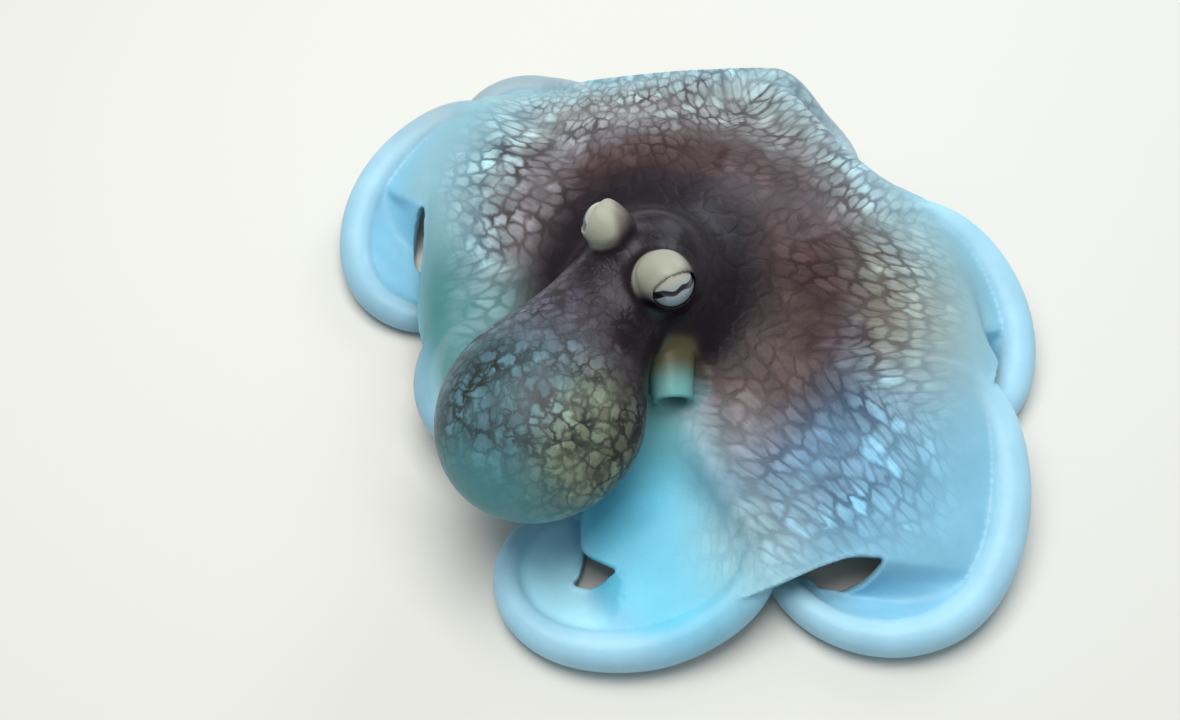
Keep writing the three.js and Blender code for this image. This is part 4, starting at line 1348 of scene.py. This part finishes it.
# %% Sucker skin
# Sucker skin is bare, pale and slippery: smoother than the rest, wetter, and a little see-through.
SUCKER_BLUE = "c9dbe2"
SUCKER_WHITE = "eef4f4"
sucker_material, tree, output = new_material("sucker_skin")
body = add(tree, "TexCoord").outputs["Object"]
cloud = add(tree, "TexNoise", {"Vector": body, "Scale": 300.0, "Detail": 2.0})
colour = add(tree, "Mix", {0: cloud, 6: opaque(SUCKER_BLUE), 7: opaque(SUCKER_WHITE)}, data_type="RGBA")
shader = add(tree, "BsdfPrincipled", {
    "Base Color": colour,
    "Roughness": 0.38,
    "IOR": 1.38,
    "Subsurface Weight": 0.15,
    "Subsurface Radius": (0.8, 0.8, 0.8),
    "Subsurface Scale": 0.0015,
    "Coat Weight": 0.3,
    "Coat Roughness": 0.2,
})
tree.links.new(shader.outputs[0], output.inputs["Surface"])
suckers.data.materials.append(sucker_material)
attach(suckers, "root")
print("the suckers ride the root")

# %% [markdown]
# ## Eyes
# An octopus's eyeball has a silvery iris and a pupil that is a dark slit, kept level by the
# animal and a little wavy. The slit could be cut out of a second ball, but it lies in the eye
# under a clear wet surface. So the slit, the iris and its faint streaks are drawn by direction
# from the eyeball's middle, and a clear coat stands for the wet surface over them.

# %% Iris and pupil
# The cornea is clear and wet, with a hard bright shine; the iris under it is a silvery film.
IRIS_GREY = "77858e"
IRIS_SILVER = "b7c3c9"
IRIS_UPPER = "a9aa9c"
IRIS_RIM = "3d3a3a"
PUPIL = "08090c"
SLIT_RISE = 0.1  # how far above the eye's middle the slit lies, as a share of its radius
SLIT_HALF = 0.1  # half its width in the middle
SLIT_WIDENS = 0.07  # how much wider its ends are
SLIT_WAVES = 8.5
SLIT_WAVE_HEIGHT = 0.05
SLIT_SOFT = 0.02

eye_material, tree, output = new_material("eyeball_iris_and_pupil")
gaze = add(tree, "Attribute", attribute_name="gaze").outputs["Vector"]
along_slit, across_slit, ahead = add(tree, "SeparateXYZ", {0: gaze}).outputs
turns = add(tree, "Math", {0: along_slit, 1: SLIT_WAVES}, operation="MULTIPLY")
wave = add(tree, "Math", {0: turns}, operation="SINE")
wave = add(tree, "Math", {0: wave, 1: SLIT_WAVE_HEIGHT}, operation="MULTIPLY")
off_slit = add(tree, "Math", {0: across_slit, 1: SLIT_RISE}, operation="SUBTRACT")
off_slit = add(tree, "Math", {0: off_slit, 1: wave}, operation="SUBTRACT")
off_slit = add(tree, "Math", {0: off_slit}, operation="ABSOLUTE")
half = add(tree, "Math", {0: along_slit}, operation="ABSOLUTE")
half = add(tree, "Math", {0: half, 1: SLIT_WIDENS, 2: SLIT_HALF}, operation="MULTIPLY_ADD")
past = add(tree, "Math", {0: off_slit, 1: half}, operation="SUBTRACT")
pupil = add(tree, "MapRange", spans(past, -SLIT_SOFT, SLIT_SOFT, 1.0, 0.0))
fine = add(tree, "VectorMath", {0: gaze, 1: (9.0, 26.0, 4.0)}, operation="MULTIPLY")
streak = add(tree, "TexNoise", {"Vector": fine, "Scale": 1.0, "Detail": 2.0})
iris = add(tree, "Mix", {0: streak, 6: opaque(IRIS_GREY), 7: opaque(IRIS_SILVER)}, data_type="RGBA")
upper = add(tree, "MapRange", spans(across_slit, 0.1, 0.5, 0.0, 1.0))
iris = add(tree, "Mix", {0: upper, 6: iris, 7: opaque(IRIS_UPPER)}, data_type="RGBA")
outer = add(tree, "MapRange", spans(ahead, 0.35, 0.6, 1.0, 0.0))
iris = add(tree, "Mix", {0: outer, 6: iris, 7: opaque(IRIS_RIM)}, data_type="RGBA")
colour = add(tree, "Mix", {0: pupil, 6: iris, 7: opaque(PUPIL)}, data_type="RGBA")
shader = add(tree, "BsdfPrincipled", {
    "Base Color": colour,
    "Roughness": 0.25,
    "IOR": 1.38,
    "Coat Weight": 1.0,
    "Coat Roughness": 0.03,
})
tree.links.new(shader.outputs[0], output.inputs["Surface"])
print("nodes in the eye's material:", len(tree.nodes))

# %% Eyeballs
def eyeball_rings(eye, rows=44, columns=64):
    """A sphere about the look axis: polar angle down the rows, azimuth along the columns."""
    look, slit, across = eye_frame(eye)
    polar = np.linspace(0.02, np.pi - 0.02, rows)[:, None, None]
    turn = np.linspace(0, 2 * np.pi, columns, endpoint=False)[None, :, None]
    level = np.sin(polar) * np.cos(turn) * slit + np.sin(polar) * np.sin(turn) * across
    return ball_middle(eye) + eye["eye"] * (level + np.cos(polar) * look)


for side, eye in EYES.items():
    points, faces = closed_rings(eyeball_rings(eye))
    ball = new_object(f"eyeball_{side}", points, faces)
    ball.data.shade_smooth()
    look, slit, across = eye_frame(eye)
    directions = (points - ball_middle(eye)) / eye["eye"] @ np.stack([slit, across, look], -1)
    write_attribute(ball.data, "gaze", directions, "FLOAT_VECTOR")
    ball.data.materials.append(eye_material)
    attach(ball, "root")
    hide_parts(f"eye_{side}")
print("eyeballs, mm across:", {side: 2 * eye["eye"] for side, eye in EYES.items()})

# %% [markdown]
# ## Floor, light and camera
# The animal lies on a plain pale floor. Light comes from a large soft source overhead, as it
# does under water, and from a cooler one behind, and a pale sky fills the shadows. Small hard
# lamps would put sharp sparks on wet skin. The camera looks down steeply on its back.

# %% Floor
def stage_object(name, data):
    """An object for the stage, which isn't part of the animal."""
    made = bpy.data.objects.new(name, data)
    bpy.context.scene.collection.objects.link(made)
    return made


FLOOR_HALF = 3.0  # metres
FLOOR_PAPER = "d9d8d3"
floor_mesh = bpy.data.meshes.new("floor")
corners = [(x * FLOOR_HALF, y * FLOOR_HALF, 0) for x, y in [(-1, -1), (1, -1), (1, 1), (-1, 1)]]
floor_mesh.from_pydata(corners, [], [(0, 1, 2, 3)])
# matt paper, which shows soft shadows and no reflection
floor_material, tree, output = new_material("pale_floor")
shader = add(tree, "BsdfPrincipled", {"Base Color": opaque(FLOOR_PAPER), "Roughness": 0.8})
tree.links.new(shader.outputs[0], output.inputs["Surface"])
floor_mesh.materials.append(floor_material)
stage_object("floor", floor_mesh)
print("floor, m across:", 2 * FLOOR_HALF)

# %% Light
WARM_WHITE = "fffdf8"
COOL_WHITE = "e8f2ff"
SKY_WHITE = "dfe8ee"
SKY_STRENGTH = 0.42


def area_light(name, place, size, watts, colour):
    """A square lamp that looks at the middle of the animal."""
    lamp = bpy.data.lights.new(name, "AREA")
    lamp.size = size
    lamp.energy = watts
    lamp.color = linear(colour).tolist()
    made = stage_object(name, lamp)
    made.location = place
    made.rotation_euler = Vector(place).to_track_quat("Z", "Y").to_euler()


area_light("overhead", (-0.1, 0.1, 1.0), 0.8, 11.0, WARM_WHITE)
area_light("behind", (0.5, 0.9, 0.6), 0.5, 3.5, COOL_WHITE)
world = bpy.data.worlds.new("sky")
bpy.context.scene.world = world
world.use_nodes = True
world.node_tree.nodes["Background"].inputs[0].default_value = opaque(SKY_WHITE)
world.node_tree.nodes["Background"].inputs[1].default_value = SKY_STRENGTH
bpy.context.scene.view_settings.view_transform = "Standard"  # the palette is shown as it is written
print("two lamps and a sky of strength", SKY_STRENGTH)

# %% Camera
CAMERA_AIM = np.array([-38.0, 6.0, 0.0])
CAMERA_ELEVATION = math.radians(55)
CAMERA_DISTANCE = 630.3
lens = bpy.data.cameras.new("camera")
lens.lens = 50
lens.sensor_width = 36
lens.clip_start = 0.01
lens.clip_end = 20
camera = stage_object("camera", lens)
back_from_aim = np.array([0, -math.cos(CAMERA_ELEVATION), math.sin(CAMERA_ELEVATION)])
camera.location = to_frame(CAMERA_AIM + CAMERA_DISTANCE * back_from_aim).tolist()
camera.rotation_euler = (math.pi / 2 - CAMERA_ELEVATION, 0, 0)
bpy.context.scene.camera = camera
print("camera at, m:", [round(x, 3) for x in camera.location])
